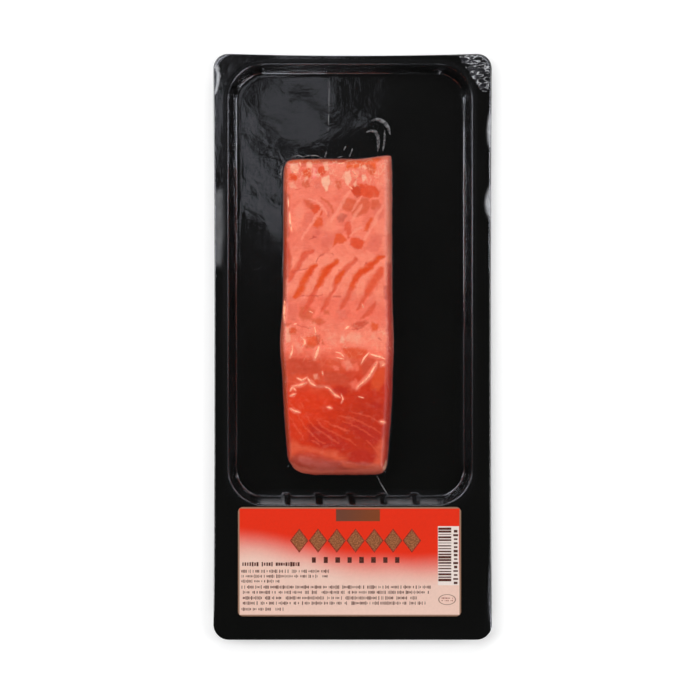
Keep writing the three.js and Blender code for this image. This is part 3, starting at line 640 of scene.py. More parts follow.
# Gaps between flakes, sinews and fine lines: tone, half width in mm, share of the tone, points.
LINES = [
    ("gap", 1.59, 0.9, (313, 250.5), (306, 254), (301.5, 260), (297.5, 267), (292, 274), (288.5, 281)),
    ("gap", 1.45, 0.9, (305, 252.5), (302, 259)),
    ("glow", 2.1, 1.0, (316, 264.5), (311.5, 268.5), (307, 275.5), (303, 283), (300, 291), (294.5, 297.5)),
    ("deep", 1.16, 0.8, (315, 265), (312, 269), (307.5, 276)),
    ("glow", 2.03, 1.0, (338, 261), (330.5, 266.5), (325.5, 271.5), (322, 278), (319, 284), (316, 289)),
    ("gap", 1.3, 0.9, (316, 288), (313.5, 295), (309, 303), (304, 312)),
    ("deep", 1.01, 0.8, (335, 264), (329, 268), (323.5, 276)),
    ("gap", 1.74, 0.9, (356, 259.5), (350.5, 264.5), (344, 271), (338.5, 277), (335.5, 285), (333, 291)),
    ("glow", 1.3, 1.0, (344, 271), (339, 277), (336, 284)),
    ("gap", 1.3, 0.9, (333, 290), (329, 298), (325, 305), (321.5, 311)),
    ("glow", 1.96, 1.0, (384, 257), (378.5, 257.5), (374, 262.5), (368.5, 268), (361, 272), (356.5, 276.5),
     (353.5, 283), (351, 289)),
    ("deep", 1.16, 0.8, (377, 259), (369, 267.5), (361, 272.5), (356, 277.5), (353.5, 284)),
    ("gap", 1.59, 0.9, (351, 288.5), (349, 294), (345.5, 301), (341, 308.5)),
    ("deep", 2.61, 0.8, (381, 269.5), (377.5, 276.5), (372.5, 283), (369.5, 289.5), (366.5, 295)),
    ("gap", 1.3, 0.9, (367, 294), (361.5, 303), (357.5, 309.5)),
    ("gap", 1.16, 0.9, (375.5, 301.5), (372, 309), (367, 314), (362, 318.5)),
    ("line", 0.28, 0.7, (324, 253), (319.5, 257), (315.5, 262)),
    ("line", 0.28, 0.7, (293, 272.5), (298, 270.3), (302, 270), (306.5, 268.3)),
    ("line", 0.28, 0.7, (300, 295.5), (307, 295.8), (313, 296.2), (323, 294.6)),
    ("line", 0.28, 0.7, (332, 297.3), (340.5, 297.2)),
    ("line", 0.25, 0.7, (364, 265.3), (368.5, 264)),
    ("line", 0.25, 0.7, (331, 253), (334, 256)),
    ("line", 0.25, 0.7, (338, 270.5), (342, 270)),
    ("gap", 1.01, 0.9, (345.3, 230), (348, 223), (350, 222.5)),
    ("gap", 1.16, 0.9, (347.5, 223), (349, 230), (348, 238)),
    ("clay", 0.7, 0.8, (321, 197.5), (327, 201.5), (331, 206), (333, 212)),
    ("dull", 0.7, 0.8, (327, 210), (329, 217)),
    ("line", 0.3, 0.7, (308, 238.5), (313, 237.5), (316, 237)),
    ("line", 0.25, 0.7, (295, 189), (300, 188.3)),
    ("pale", 0.9, 0.6, (301, 240), (311, 224), (322, 208)),
    ("pale", 1.0, 0.6, (331, 222), (337.5, 211), (343.5, 200), (350, 191)),
    ("pale", 1.0, 0.6, (351, 222), (357, 212), (362, 204)),
    ("pale", 1.1, 0.6, (364, 240), (370, 230), (376, 218), (383, 205)),
    ("pale", 0.7, 0.6, (352, 211), (357, 203), (362, 196)),
    ("pale", 0.8, 0.6, (309, 199), (317, 201), (322, 206), (327, 214)),
    ("pale", 0.7, 0.6, (349, 236), (354, 231), (362, 227)),
    ("line", 0.3, 0.7, (351, 328.3), (358, 329), (363, 327.8)),
    ("clay", 0.6, 0.8, (284, 324.5), (291, 323.5)),
    ("line", 0.25, 0.7, (296, 323), (301, 326.5), (311, 328.5)),
    ("line", 0.3, 0.7, (378, 337.5), (381, 340)),
    ("clay", 0.5, 0.8, (322, 340), (324, 345)),
    ("brick", 0.32, 0.7, (298, 453), (303, 451.8), (308, 453.5)),
    ("brick", 0.3, 0.7, (322, 456), (335, 459), (347, 464), (360, 467), (378, 468)),
    ("seam", 0.4, 0.55, (290, 417), (294, 424), (299, 432), (303, 439)),
    ("seam", 0.42, 0.55, (297, 414.5), (303, 424), (310, 433), (318, 440), (326, 444)),
    ("seam", 0.42, 0.55, (305.5, 416), (313, 425), (321, 432), (330, 438), (340, 443.5)),
    ("seam", 0.5, 0.55, (316.5, 421), (322, 426), (329, 430.5), (340, 436), (350, 441), (356.5, 445)),
    ("seam", 0.45, 0.55, (325, 421), (333, 425), (343, 430), (350.5, 430.8)),
    ("seam", 0.5, 0.55, (334, 424.5), (340, 428.3), (347, 430.5)),
    ("seam", 0.45, 0.55, (343, 421), (349, 423.5), (357, 427), (366, 432), (374, 438)),
    ("seam", 0.45, 0.55, (339, 416.5), (350, 417.5), (361, 421.5), (370, 427), (380, 433)),
    ("seam", 0.4, 0.55, (352, 413), (362, 415), (372, 418), (381, 423)),
    ("seam", 0.4, 0.55, (300, 403), (304, 408)),
    ("seam", 0.4, 0.55, (289, 402), (294, 408)),
    ("seam", 0.35, 0.55, (366, 440), (372, 446), (377, 452)),
    ("seam", 0.4, 0.55, (312, 440), (320, 446)),
    ("line", 0.35, 0.7, (300, 454.5), (306, 453.2), (312, 453.5), (318, 456), (326, 458.5), (333, 461.5)),
    ("line", 0.3, 0.7, (355, 464), (362, 465.3), (370, 465)),
]
# Pinched folds of the film over the fillet, in pixels: share of the painted highlight beside them, half width in mm,
# points.
FILLET_FOLDS = [
    (0.8, 0.42, (289.6, 211.5), (290, 221), (291.6, 231)),
    (0.45, 0.28, (288, 197), (288.6, 207)),
    (0.55, 0.5, (292.2, 345.5), (292.4, 351), (290, 357.5)),
    (0.8, 0.42, (301, 337), (304.8, 340.5), (304.6, 344), (302.2, 347)),
    (0.75, 0.7, (319, 346), (317.3, 352), (314.8, 359)),
    (0.5, 0.5, (345, 329.2), (349.5, 326)),
    (0.4, 0.42, (369.3, 352.3), (364.3, 357.8), (361, 364.3)),
    (0.6, 0.5, (370, 354), (375, 355.7), (381, 357), (385, 359.3)),
    (0.85, 0.55, (377, 362), (373.3, 369), (369.2, 375.8), (364, 381), (359.3, 385.2), (357, 388)),
    (0.85, 0.34, (297, 378), (302, 380.4), (307, 377.4)),
    (0.5, 0.45, (307.5, 378), (311, 383.5), (316, 386.2)),
    (0.45, 0.4, (325, 386.6), (330, 389), (333.6, 393.6), (340, 397.6)),
    (0.8, 0.3, (333.5, 393.5), (336, 396), (340, 397.5)),
    (0.75, 0.42, (293, 386.3), (299, 385.5), (306.5, 382.8)),
    (0.7, 0.4, (290.3, 391), (292.5, 387.2), (295.7, 390.5)),
    (0.75, 0.4, (290, 396), (295.5, 393.8)),
    (0.5, 0.28, (341, 394), (343, 399), (341.3, 403.3)),
    (0.6, 0.42, (327, 407), (332, 408.2)),
    (0.7, 0.42, (290, 408.6), (295, 411.2), (300, 412.6)),
    (0.6, 0.5, (380, 421.4), (385.3, 422.8)),
    (0.35, 0.3, (335, 352), (340, 353), (344, 357)),
    (0.35, 0.3, (336, 357.4), (344, 359.2)),
    (0.4, 0.25, (322.3, 371), (323, 375.3)),
    (0.5, 0.42, (314.3, 326), (316, 334)),
    (0.5, 0.6, (284.3, 300), (284.2, 322)),
    (0.6, 0.45, (382, 366), (384.8, 364)),
    (0.35, 0.25, (358.3, 396.5), (364, 398)),
    (0.5, 0.3, (299.5, 161), (300.5, 166)),
    (0.5, 0.28, (338, 163.5), (345, 162.7)),
    (0.6, 0.3, (291.5, 171.5), (299, 173)),
    (0.5, 0.28, (349, 186), (352.5, 189)),
    (0.55, 0.3, (352, 170.5), (357, 175.5)),
    (0.5, 0.25, (354, 178), (358.5, 175.5)),
    (0.35, 0.25, (309, 311), (313, 313)),
    (0.3, 0.3, (362, 303.5), (363.5, 308)),
    (0.4, 0.3, (304.3, 339), (306, 345)),
    (0.35, 0.25, (293.5, 324.5), (297, 323.3)),
]


def soft_step(value, low, high):
    """0 below low and 1 above high, with a soft step between."""
    t = np.clip((value - low) / (high - low), 0, 1)
    return t * t * (3 - 2 * t)


def bell(value, middle, reach):
    """1 at the middle, and less and less away from it."""
    return np.exp(-(((value - middle) / reach) ** 2))


def rise(distance, run, slanted=False):
    """How high an edge has come up, as a share of the thickness, at a distance in from the outline."""
    gone = np.clip(distance / run, 0, 1)
    shape = np.sin(gone * math.pi / 2) ** 0.9 if slanted else np.sqrt(1 - (1 - gone) ** 2)
    return EDGE_SHARE + (1 - EDGE_SHARE) * shape


def over_fillet(across, along, grow=0.0):
    """Points of the fillet's smooth upper face, for places from -1 to 1 each way, made larger all round."""
    half = FILLET_SIZE / 2
    narrowing = NARROWING * soft_step(-along, *COMES_IN["narrowing"])
    swell = SIDE_BULGE * bell(along, *BULGE_PLACE)
    pull = CORNER_PULL * np.abs(across) ** CORNER_POWERS[0] * np.abs(along) ** CORNER_POWERS[1]
    pull *= np.where((across > 0) & (along > 0), FAR_RIGHT_PULL, 1)
    raised = soft_step(across, *COMES_IN["raised_across"]) * soft_step(along, *COMES_IN["raised_along"])
    trimmed = np.clip((-across - CUT_START) / (1 - CUT_START), 0, 1) ** 2 * soft_step(-along, *COMES_IN["trimmed"])
    shifted = RAISED_CORNER * raised + NEAR_CORNER_CUT * trimmed
    x = FILLET_CENTRE[0] + across * (half[0] + grow - narrowing + np.where(across < 0, swell, swell / 2) - pull)
    y = FILLET_CENTRE[1] + along * (half[1] + grow - pull) + shifted
    side = rise((1 - np.abs(across)) * half[0], np.where(across < 0, EDGE_RUNS["left"], EDGE_RUNS["right"]))
    slant_run = EDGE_RUNS["slant"] * (1 + (SLANT_RIGHT - 1) * (0.5 + across / 2))
    from_end = (1 - np.abs(along)) * half[1]
    end = np.where(along < 0, rise(from_end, slant_run, slanted=True), rise(from_end, EDGE_RUNS["far"]))
    up = np.maximum(1 - np.hypot(1 - side, 1 - end), EDGE_SHARE)
    crown = 1 - CROWN["across"] * across**2 - (CROWN["far"] * soft_step(along, *COMES_IN["far_crown"])
                                               + CROWN["near"] * soft_step(-along, *COMES_IN["near_crown"]))
    return np.stack((x, y, FILLET_FOOT + (FILLET_THICKNESS + grow) * crown * up), axis=-1)


def spaced(half, edge, edge_steps, inner_steps):
    """Places from -1 to 1, drawn together within `edge` of both ends."""
    near = edge * (np.arange(edge_steps + 1) / edge_steps) ** 1.5 / half
    inner = np.linspace(-1 + edge / half, 1 - edge / half, inner_steps + 1)
    return np.concatenate((near[:-1] - 1, inner, (1 - near[:-1])[::-1]))


def seen_at(pixels, height):
    """The places, at a height, that the camera sees at pixels."""
    off_centre = (np.array(pixels, float) - PIXELS / 2) * (1, -1) * FRAME_SPAN / PIXELS
    return FRAME_CENTRE + off_centre * (EYE - height) / (EYE - RIM)


def linear(tone):
    """A named tone as a scene colour."""
    shown = np.array(FLESH[tone]) / 255
    return np.where(shown < 0.04045, shown / 12.92, ((shown + 0.055) / 1.055) ** 2.4)


def to_line(points, path):
    """How far each point is from a line, and the share of the line's length at which it is nearest."""
    lengths = np.linalg.norm(np.diff(path, axis=0), axis=1)
    gone = np.concatenate(((0,), np.cumsum(lengths))) / lengths.sum()
    nearest = np.full(len(points), np.inf)
    share = np.zeros(len(points))
    for start, finish, length, before, after in zip(path, path[1:], lengths, gone, gone[1:]):
        t = np.clip((points - start) @ (finish - start) / length**2, 0, 1)
        distance = np.linalg.norm(points - start - t[:, None] * (finish - start), axis=1)
        closer = distance < nearest
        nearest = np.where(closer, distance, nearest)
        share = np.where(closer, before + (after - before) * t, share)
    return nearest, share


def near_to(points, path, reach):
    """The numbers of the points in a path's box, grown by a reach."""
    return np.nonzero(np.all((points > path.min(axis=0) - reach) & (points < path.max(axis=0) + reach), axis=1))[0]


def stroke(points, path, half_width):
    """1 on a stroke and 0 away from it. It is widest in its middle and ends in points."""
    found = np.zeros(len(points))
    close = near_to(points, path, half_width * 3)
    distance, share = to_line(points[close], path)
    lens = 0.45 + 0.45 * np.sin(np.pi * share) ** 0.7
    found[close] = np.exp(-((distance / (half_width * lens)) ** 4) * 0.7)
    return found


def patch(points, corners, soft):
    """1 inside a closed outline and 0 outside, with a soft edge."""
    found = np.zeros(len(points))
    close = near_to(points, corners, soft)
    here = points[close]
    ring = np.concatenate((corners, corners[:1]))
    distance, _ = to_line(here, ring)
    inside = np.zeros(len(here), bool)
    for (x1, y1), (x2, y2) in zip(ring, ring[1:]):
        spans = (y1 > here[:, 1]) != (y2 > here[:, 1])
        inside ^= spans & (here[:, 0] < (x2 - x1) * (here[:, 1] - y1) / (y2 - y1 if y2 != y1 else 1) + x1)
    found[close] = soft_step(np.where(inside, distance, -distance), -soft, soft)
    return found


def waves(points, seed, length):
    """A soft random relief from -1 to 1: a sum of waves of about one length in random directions."""
    rng = np.random.default_rng(seed)
    total = np.zeros(points.shape[:-1])
    for _ in range(WAVE_COUNT):
        turn = rng.uniform(0, 2 * np.pi)
        number = 2 * np.pi / (length * rng.uniform(0.7, 1.6))
        phase = rng.uniform(0, 2 * np.pi)
        total += np.sin(number * (points[..., 0] * np.cos(turn) + points[..., 1] * np.sin(turn)) + phase)
    return total / math.sqrt(WAVE_COUNT)


def grid_faces(rows, columns):
    """Quads of a grid of points stored row by row, facing up where rows run along +Y and columns along +X."""
    i, j = np.meshgrid(np.arange(columns - 1), np.arange(rows - 1))
    corner = (j * columns + i).ravel()
    return np.stack((corner, corner + 1, corner + columns + 1, corner + columns), axis=1)


def grid_border(rows, columns):
    """The numbers round a grid's border, anticlockwise from its first point."""
    numbers = np.arange(rows * columns).reshape(rows, columns)
    return np.concatenate((numbers[0, :-1], numbers[:-1, -1], numbers[-1, :0:-1], numbers[:0:-1, 0]))


def ring_faces(inner, outer):
    """Quads between two anticlockwise loops, facing up where the second lies outside the first."""
    return np.stack((inner, outer, np.roll(outer, -1), np.roll(inner, -1)), axis=1)


def moved_out(loop, distance):
    """A closed anticlockwise loop of plan points, moved outwards."""
    along = np.roll(loop, -1, axis=0) - np.roll(loop, 1, axis=0)
    along /= np.linalg.norm(along, axis=1, keepdims=True)
    return loop + np.stack((along[:, 1], -along[:, 0]), axis=1) * distance


def solid(name, points, faces, shares=None, colours=None):
    """A mesh object from arrays of points and faces, with named numbers or colours for each point."""
    mesh = bpy.data.meshes.new(name)
    mesh.from_pydata(points.tolist(), [], [face.tolist() for block in faces for face in block])
    for field, values in (shares or {}).items():
        mesh.attributes.new(field, "FLOAT", "POINT").data.foreach_set("value", values.astype(np.float32))
    for field, values in (colours or {}).items():
        opaque = np.column_stack((values, np.ones(len(values)))).astype(np.float32)
        mesh.attributes.new(field, "FLOAT_COLOR", "POINT").data.foreach_set("color", opaque.ravel())
    return as_object(name, mesh)


def two_nearest(points, places):
    """The numbers of the two scattered places nearest each point, and how far away they are."""
    found = []
    for part in np.array_split(points, 1 + len(points) // 4000):
        square = (part**2).sum(axis=1)[:, None] + (places**2).sum(axis=1) - 2 * part @ places.T
        two = np.argpartition(square, 1, axis=1)[:, :2]
        away = np.sqrt(np.maximum(np.take_along_axis(square, two, axis=1), 0))
        order = np.argsort(away, axis=1)
        found.append((np.take_along_axis(two, order, axis=1), np.take_along_axis(away, order, axis=1)))
    return (np.concatenate(column) for column in zip(*found))


def scattered(points, rng):
    """About one place to each unit square of the points' box."""
    low = points.min(axis=0)
    span = points.max(axis=0) - low
    return low + rng.random((int(span[0] * span[1]), 2)) * span


def flakes(points, seed, size, turn):
    """Flat shades from -1 to 1 in uneven cells, long one way, with soft edges between them."""
    rng = np.random.default_rng(seed)
    onward = np.array((math.cos(turn), math.sin(turn)))
    local = np.stack((points @ onward / size[0], points @ np.array((-onward[1], onward[0])) / size[1]), axis=1)
    places = scattered(local, rng)
    shade = rng.uniform(-1, 1, len(places))
    nearest, away = two_nearest(local, places)
    part = soft_step(away[:, 1] - away[:, 0], -0.16, 0.16)
    return shade[nearest[:, 0]] * part + shade[nearest[:, 1]] * (1 - part)


def crumple(points, seed, spacing):
    """Facets with sharp creases between them, 0 on a crease and up to 1."""
    local = points[:, :2] / spacing
    _, away = two_nearest(local, scattered(local, np.random.default_rng(seed)))
    return np.clip(away[:, 1] - away[:, 0], 0, 1)


def flesh_tints(plan):
    """The flesh's tint, painted light and shade included, at each point of its upper face, and how deep the flake gaps
    are.
    """
    wander = np.stack((waves(plan, 41, 5 * mm), waves(plan, 42, 5 * mm)), axis=1)
    fine = np.stack((waves(plan, 43, 1.6 * mm), waves(plan, 44, 1.6 * mm)), axis=1)
    spot = plan + (0.25 * wander + 0.15 * fine) * mm  # edges of tone wander a little
    sides = []
    for run in (LEFT_RUN, RIGHT_RUN):
        rows = [seen_at((PIXELS / 2, row), FILLET_TOP)[1] for row, _ in run][::-1]
        stops = np.array([linear(tone) for _, tone in run])[::-1]
        sides.append(np.stack([np.interp(spot[:, 1], rows, stops[:, part]) for part in range(3)], axis=1))
    from_middle = plan[:, 0] + 2 * mm * wander[:, 0] - FILLET_CENTRE[0]
    rightward = soft_step(from_middle, -TONE_BLEND, TONE_BLEND)
    tint = sides[0] + (sides[1] - sides[0]) * rightward[:, None]
    depth = np.zeros(len(plan))
    shade = sum(share * flakes(spot, *kind) for share, *kind in FLAKES)
    shade *= 0.45 + 0.55 * soft_step(plan[:, 1], -30 * mm, 0)  # fainter in the near half
    tint *= 1 + shade[:, None] * FLAKE_TINT
    for tone, soft, share, *corners in PATCHES:
        cover = share * patch(spot, seen_at(corners, FILLET_TOP), soft * PATCH_SOFTNESS * mm)
        tint += (linear(tone) - tint) * cover[:, None]
    for tone, half_width, share, *line in LINES:
        cover = stroke(spot, seen_at(line, FILLET_TOP), half_width * mm)
        tint += (linear(tone) - tint) * share * cover[:, None]
        if tone in ("gap", "glow", "deep", "line"):
            depth = np.maximum(depth, cover)
    # Painted highlights: the flesh is painted pale where the film over it is creased and would catch the light.
    creased = soft_step(plan[:, 1], *CREASED_FAR) + 0.6 * bell(plan[:, 1], *CREASED_FURROW)
    crease_highlights = soft_step(-crumple(spot, 53, 2.2 * mm), -0.16, 0) * creased * (0.5 + 0.5 * waves(plan, 54, 6 * mm))
    tint += (linear("painted_glint") - tint) * np.clip(0.6 * crease_highlights, 0, 1)[:, None]
    # Painted highlights: the flesh is painted pale beside each fold of the film.
    for share, half_width, *line in FILLET_FOLDS:
        cover = stroke(plan, seen_at(line, FILLET_TOP), HALO[1] * half_width * mm)
        tint += (linear("pale") - tint) * HALO[0] * share * cover[:, None]
    return tint, depth


def flesh():
    """Moist salted flesh in its tints, painted light and shade among them, clouded, faintly fibrous and a little
    translucent.
    """
    material, nodes, shader = new_material("Trout flesh")
    spot = nodes.add("ShaderNodeTexCoord", out="Object")
    tint = nodes.add("ShaderNodeAttribute", {"attribute_name": "tint"}, out="Color")
    cloud = nodes.noise(spot, 330, 4, 0.6)
    sockets = {"Vector": spot, "Rotation": (0, 0, 0.9), "Scale": (260, 1500, 260)}
    fibre = nodes.noise(nodes.add("ShaderNodeMapping", None, sockets), 1, 3)
    multiply = {"data_type": "RGBA", "blend_type": "MULTIPLY"}
    deeper = nodes.add("ShaderNodeMix", multiply, {"Factor": 1.0, "A": tint, "B": (0.88, 0.66, 0.62, 1)})
    colour = nodes.mixed(0.55 * nodes.smooth(cloud, 0.48, 0.75), tint, deeper)
    colour = nodes.mixed(0.5 * nodes.smooth(fibre, 0.5, 0.8), colour, deeper)
    colour = nodes.mixed(0.07 * nodes.smooth(cloud, 0.5, 0.25), colour, (1.0, 0.52, 0.40, 1))
    plug(shader["Base Color"], colour)
    plug(shader["Roughness"], 0.38 + 0.16 * cloud)
    plug(shader["Subsurface Weight"], 0.15)
    plug(shader["Subsurface Radius"], (1.0, 0.35, 0.2))
    plug(shader["Subsurface Scale"], 1.5 * mm)
    plug(shader["IOR"], 1.4)
    plug(shader["Normal"], nodes.bump(cloud + fibre * 0.4, 0.3, 0.3 * mm))
    return material


across = spaced(FILLET_SIZE[0] / 2, EDGE_BAND, *FLESH_STEPS["across"])
along = spaced(FILLET_SIZE[1] / 2, END_BAND, *FLESH_STEPS["along"])
top = over_fillet(*np.meshgrid(across, along)).reshape(-1, 3)
tints, depth = flesh_tints(top[:, :2])
inside = soft_step(top[:, 2], *UPPER_FACE)
relief = GAP_DEPTH * depth + UNEVENNESS[0] * waves(top, 11, 7 * mm) + UNEVENNESS[1] * waves(top, 12, 2.6 * mm)
top[:, 2] -= np.maximum(relief + SUNK, 0) * mm * inside
border = grid_border(len(along), len(across))
loops = [border]
points = [top]
tones = [tints]
count = len(top)
for level in SIDE_LEVELS:
    out = np.interp(level, *SIDE_BELLY) * mm + 0.1 * mm * waves(top[border], 13, 5 * mm) * level
    below = (top[border, 2] - FILLET_FOOT) * (1 - level)
    z = FILLET_FOOT + (top[border, 2] - FILLET_FOOT) * level
    points.append(np.column_stack((moved_out(top[border, :2], out[:, None]), z)))
    side_tints, _ = flesh_tints(moved_out(top[border, :2], below[:, None]))
    rind = np.interp(level, *RIND_SHARE)
    tones.append(side_tints * (1 - rind) + linear("skin") * rind)
    loops.append(np.arange(len(border)) + count)
    count += len(border)
points.append(points[-1].mean(axis=0, keepdims=True))
tones.append(linear("skin")[None])
hub = np.full(len(border), count)
faces = [grid_faces(len(along), len(across))]
faces += [ring_faces(inner, outer) for inner, outer in zip(loops, loops[1:])]
faces.append(np.stack((loops[-1], hub, np.roll(loops[-1], -1)), axis=1))
fillet = solid("fillet_cut", np.concatenate(points), faces, colours={"tint": np.concatenate(tones)})
fillet.data.materials.append(flesh())
smoothed(fillet, 60)
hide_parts("fillet")
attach(fillet, "root")

# ---- Film ---------------------------------------------------------------------------------------------------
# Thin clear film, drawn down warm under vacuum so that it clings to the fillet and the tray, and sealed round the
# rim. It wrinkles where it comes down off the fillet, and keeps a soft curve in the well's corners.

FILM = 0.1 * mm
FILM_LIFT = 0.32 * mm  # its upper face above what it lies on
PLACES_ACROSS = 124
PLACES_ALONG = 150
BAND_STEPS = (12, 18)  # of those, the places in the bands along the fillet's long edges and ends
CORNER_STEPS = 6  # each side's share of a corner
DRAPE = ((0.15, 0.75), (0.25, 0.45), (0.3, 0.2), (0.33, 0.06), (0.36, 0.0))  # mm out of the fillet, share of height
FOOT_GAP = 0.8 * mm  # from the fillet's edge to where the film lies on the floor
FACETED_FAR = (76 * mm, 84 * mm)
FACETED_FURROW = (-2 * mm, 14 * mm)  # its middle and reach
FACETS = (0.3, 0.12, 0.04)  # mm high at the far end, across the furrow and elsewhere
FLOOR_RINGS = 12
FILM_SHARES = (0.1, 0.2, 0.3, 0.4, 0.5, 0.58, 0.66, 0.74, 0.82, 0.88, 0.92, 0.96, 0.985, 1)  # rings, well to edge
BENT_DULL = 0.6  # how dull the film is where it bends over the rim
BENT_INSET = 1 * mm  # where that ends
# Painted reflections on the film over the rim and the label end's wall, in pixels: how silvery, softness in mm,
# corners.
PAINTED_REFLECTIONS = [
    (0.75, 1.0, (491.5, 110), (489.4, 116), (488, 128), (488.4, 140), (491.5, 150)),
    (0.7, 1.2, (491.5, 184), (489, 190), (486.6, 197), (486, 204), (487.2, 212), (491.5, 220)),
    (0.8, 0.5, (215.5, 65), (218, 68), (219.5, 76), (218.8, 84), (216.5, 92), (214.2, 94.5), (215.5, 89), (216.8, 82),
     (217, 74), (216, 69), (214, 67)),
    (0.12, 1.2, (214.5, 190), (222, 190), (223, 230), (221, 264), (214.5, 264)),
    (0.16, 0.3, (268, 500), (283, 500), (285.5, 504.5), (262, 504.5)),
    (0.16, 0.3, (294, 500), (313, 500), (316.5, 504.5), (290.5, 504.5)),
    (0.16, 0.3, (326, 500), (346, 500), (349.5, 504.5), (322.5, 504.5)),
    (0.1, 0.3, (359, 500), (377, 500), (381, 504.5), (355.5, 504.5)),
    (0.16, 0.3, (391, 500), (409.5, 500), (413, 504.5), (387, 504.5)),
    (0.14, 0.3, (423, 500), (438, 500), (441, 504.5), (419.5, 504.5)),
]
# Lengths of the well's wall where the film is dull, in pixels: how dull, softness in mm, corners.
DULLED = [
    (0.85, 6.0, (222, 330), (242, 330), (242, 455), (222, 455)),
    (0.8, 6.0, (456, 335), (478, 335), (478, 465), (456, 465)),
    (0.95, 0.8, (258, 490), (442, 490), (442, 499.6), (258, 499.6)),
]
# Folds that run out over the tray, in pixels: half width in mm, points.
TRAY_FOLDS = [
    (0.3, (284.8, 162.3), (282, 168), (281, 173), (280.6, 179.5)),
    (0.26, (290, 158), (298, 155.5), (303, 157), (308.5, 155.6), (316, 155.6), (321, 157.6), (323.8, 159.8)),
    (0.24, (283.2, 178), (283.6, 215), (283.4, 250), (281.8, 282)),
    (0.24, (337, 157.8), (343.5, 156.3)),
    (0.8, (366, 132.5), (371, 130.6), (375.4, 131.5), (378, 137), (378.3, 145), (377.7, 152)),
    (0.9, (370.6, 121), (376, 119.4), (380, 120), (385, 123), (388.5, 128), (390.3, 135)),
    (0.5, (384.7, 129.7), (384.6, 140), (382.8, 152)),
    (0.3, (327, 150.6), (325.8, 154), (324.7, 158.4)),
    (0.28, (346, 146), (343.7, 150.6)),
    (0.3, (352.6, 148.3), (351, 153), (349.3, 157.3)),
    (0.13, (329.2, 80.7), (328.9, 105), (328.2, 131.5)),
    (0.25, (376.5, 475), (381, 484), (388, 495)),
]


def rounded_box(size, centre, corner):
    """The film's places round a rounded rectangle, anticlockwise from the middle of its near left corner."""
    half = size / 2 - corner
    points = []
    for toward, steps in (((1, 0), PLACES_ACROSS), ((0, 1), PLACES_ALONG), ((-1, 0), PLACES_ACROSS),
                          ((0, -1), PLACES_ALONG)):
        toward = np.array(toward)
        outward = np.array((toward[1], -toward[0]))
        first = centre + half * (outward - toward)
        last = centre + half * (outward + toward)
        for step in range(CORNER_STEPS):
            turn = math.pi / 4 * (1 - step / CORNER_STEPS)
            points.append(first + corner * (outward * math.cos(turn) - toward * math.sin(turn)))
        straight = steps - 2 * CORNER_STEPS
        for step in range(straight + 1):
            points.append(first + (last - first) * step / straight + corner * outward)
        for step in range(1, CORNER_STEPS):
            turn = math.pi / 4 * step / CORNER_STEPS
            points.append(last + corner * (outward * math.cos(turn) + toward * math.sin(turn)))
    return np.array(points)


def bowed(points):
    """The pack's outline with its long sides and far end bowed in."""
    half = PACK_SIZE / 2
    x, y = points.T
    bowed_x = x - np.sign(x) * PACK_BOW[0] * (1 - (y / half[1]) ** 2)
    bowed_y = y - PACK_BOW[1] * (1 - (x / half[0]) ** 2) * (y > 0)
    return np.stack((bowed_x, bowed_y), axis=1)


def film_waves(points):
    """The film's unevenness where it spans the floor and the rim."""
    return 0.06 * mm * waves(points, 21, 34 * mm) + 0.01 * mm * waves(points, 22, 12 * mm)


def pushed_by_ribs(plan, foot):
    """Plan points of the wall moved in where a buttress stands under the film; foot is 0 at the rim, 1 at the foot."""
    from_middle = plan[:, 0] - WELL_CENTRE[0]
    nearest = np.abs(from_middle - np.round(from_middle / RIB_PITCH) * RIB_PITCH)
    half = RIB_HALF_WIDTH[0] + (RIB_HALF_WIDTH[1] - RIB_HALF_WIDTH[0]) * foot
    stands = np.clip((half - nearest) / RIB_SOFTNESS + 0.5, 0, 1) * (np.abs(from_middle) < RIB_PITCH * RIB_COUNT / 2)
    stands *= plan[:, 1] < WELL_CENTRE[1] - WELL_SIZE[1] / 2 + WALL_RUN + 2 * mm
    return plan + np.stack((np.zeros(len(plan)), RIB_DEPTH * foot * stands), axis=1)


def patched(amount, plan, patches):
    """An amount at each plan point, raised to each patch's share where the patch covers the point."""
    for share, soft, *corners in patches:
        amount = np.maximum(amount, share * patch(plan, seen_at(corners, RIM), soft * mm))
    return amount


def clear_film():
    """Clear film: light passes it but for a sharp reflection, and in places painted reflections lie on it in silvery
    grey.

    It is dull where it clings to flesh or is bent over the rim, and along lengths of the well's wall.
    """
    material, nodes, _ = new_material("Clear film")
    nodes.tree.nodes.remove(nodes.tree.nodes["Principled BSDF"])
    spot = nodes.add("ShaderNodeTexCoord", out="Object")
    silver = nodes.add("ShaderNodeAttribute", {"attribute_name": "silver"}, out="Fac")
    dull = nodes.add("ShaderNodeAttribute", {"attribute_name": "dull"}, out="Fac")
    ripple = nodes.noise(spot, 420, 3)
    bump = nodes.bump(ripple + nodes.noise(spot, 60, 2) * 2, 0.12, 0.3 * mm)
    facing = nodes.add("ShaderNodeLayerWeight", None, {"Blend": 0.5, "Normal": bump}, "Facing")
    clear = nodes.add("ShaderNodeBsdfTransparent", None, {"Color": (1, 1, 1, 1)})
    sockets = {"Color": (1, 1, 1, 1), "Roughness": 0.06 + 0.34 * dull, "Normal": bump}
    gloss = nodes.add("ShaderNodeBsdfAnisotropic", None, sockets)
    reflected = 0.04 - 0.022 * dull + 0.7 * (1 - 0.85 * dull) * facing**5
    both = nodes.add("ShaderNodeMixShader", None, {0: reflected, 1: clear, 2: gloss})
    # Painted reflection: a rippled silvery grey laid over the film in the listed places.
    grey = nodes.mixed(ripple, (0.42, 0.43, 0.46, 1), (0.75, 0.76, 0.79, 1))
    painted_reflection_shader = nodes.add("ShaderNodeBsdfDiffuse", None, {"Color": grey})
    cover = (silver * (0.55 + 0.6 * ripple)).clamped()
    whole = nodes.add("ShaderNodeMixShader", None, {0: cover, 1: both, 2: painted_reflection_shader})
    plug(nodes.tree.nodes["Material Output"].inputs["Surface"], whole)
    return material


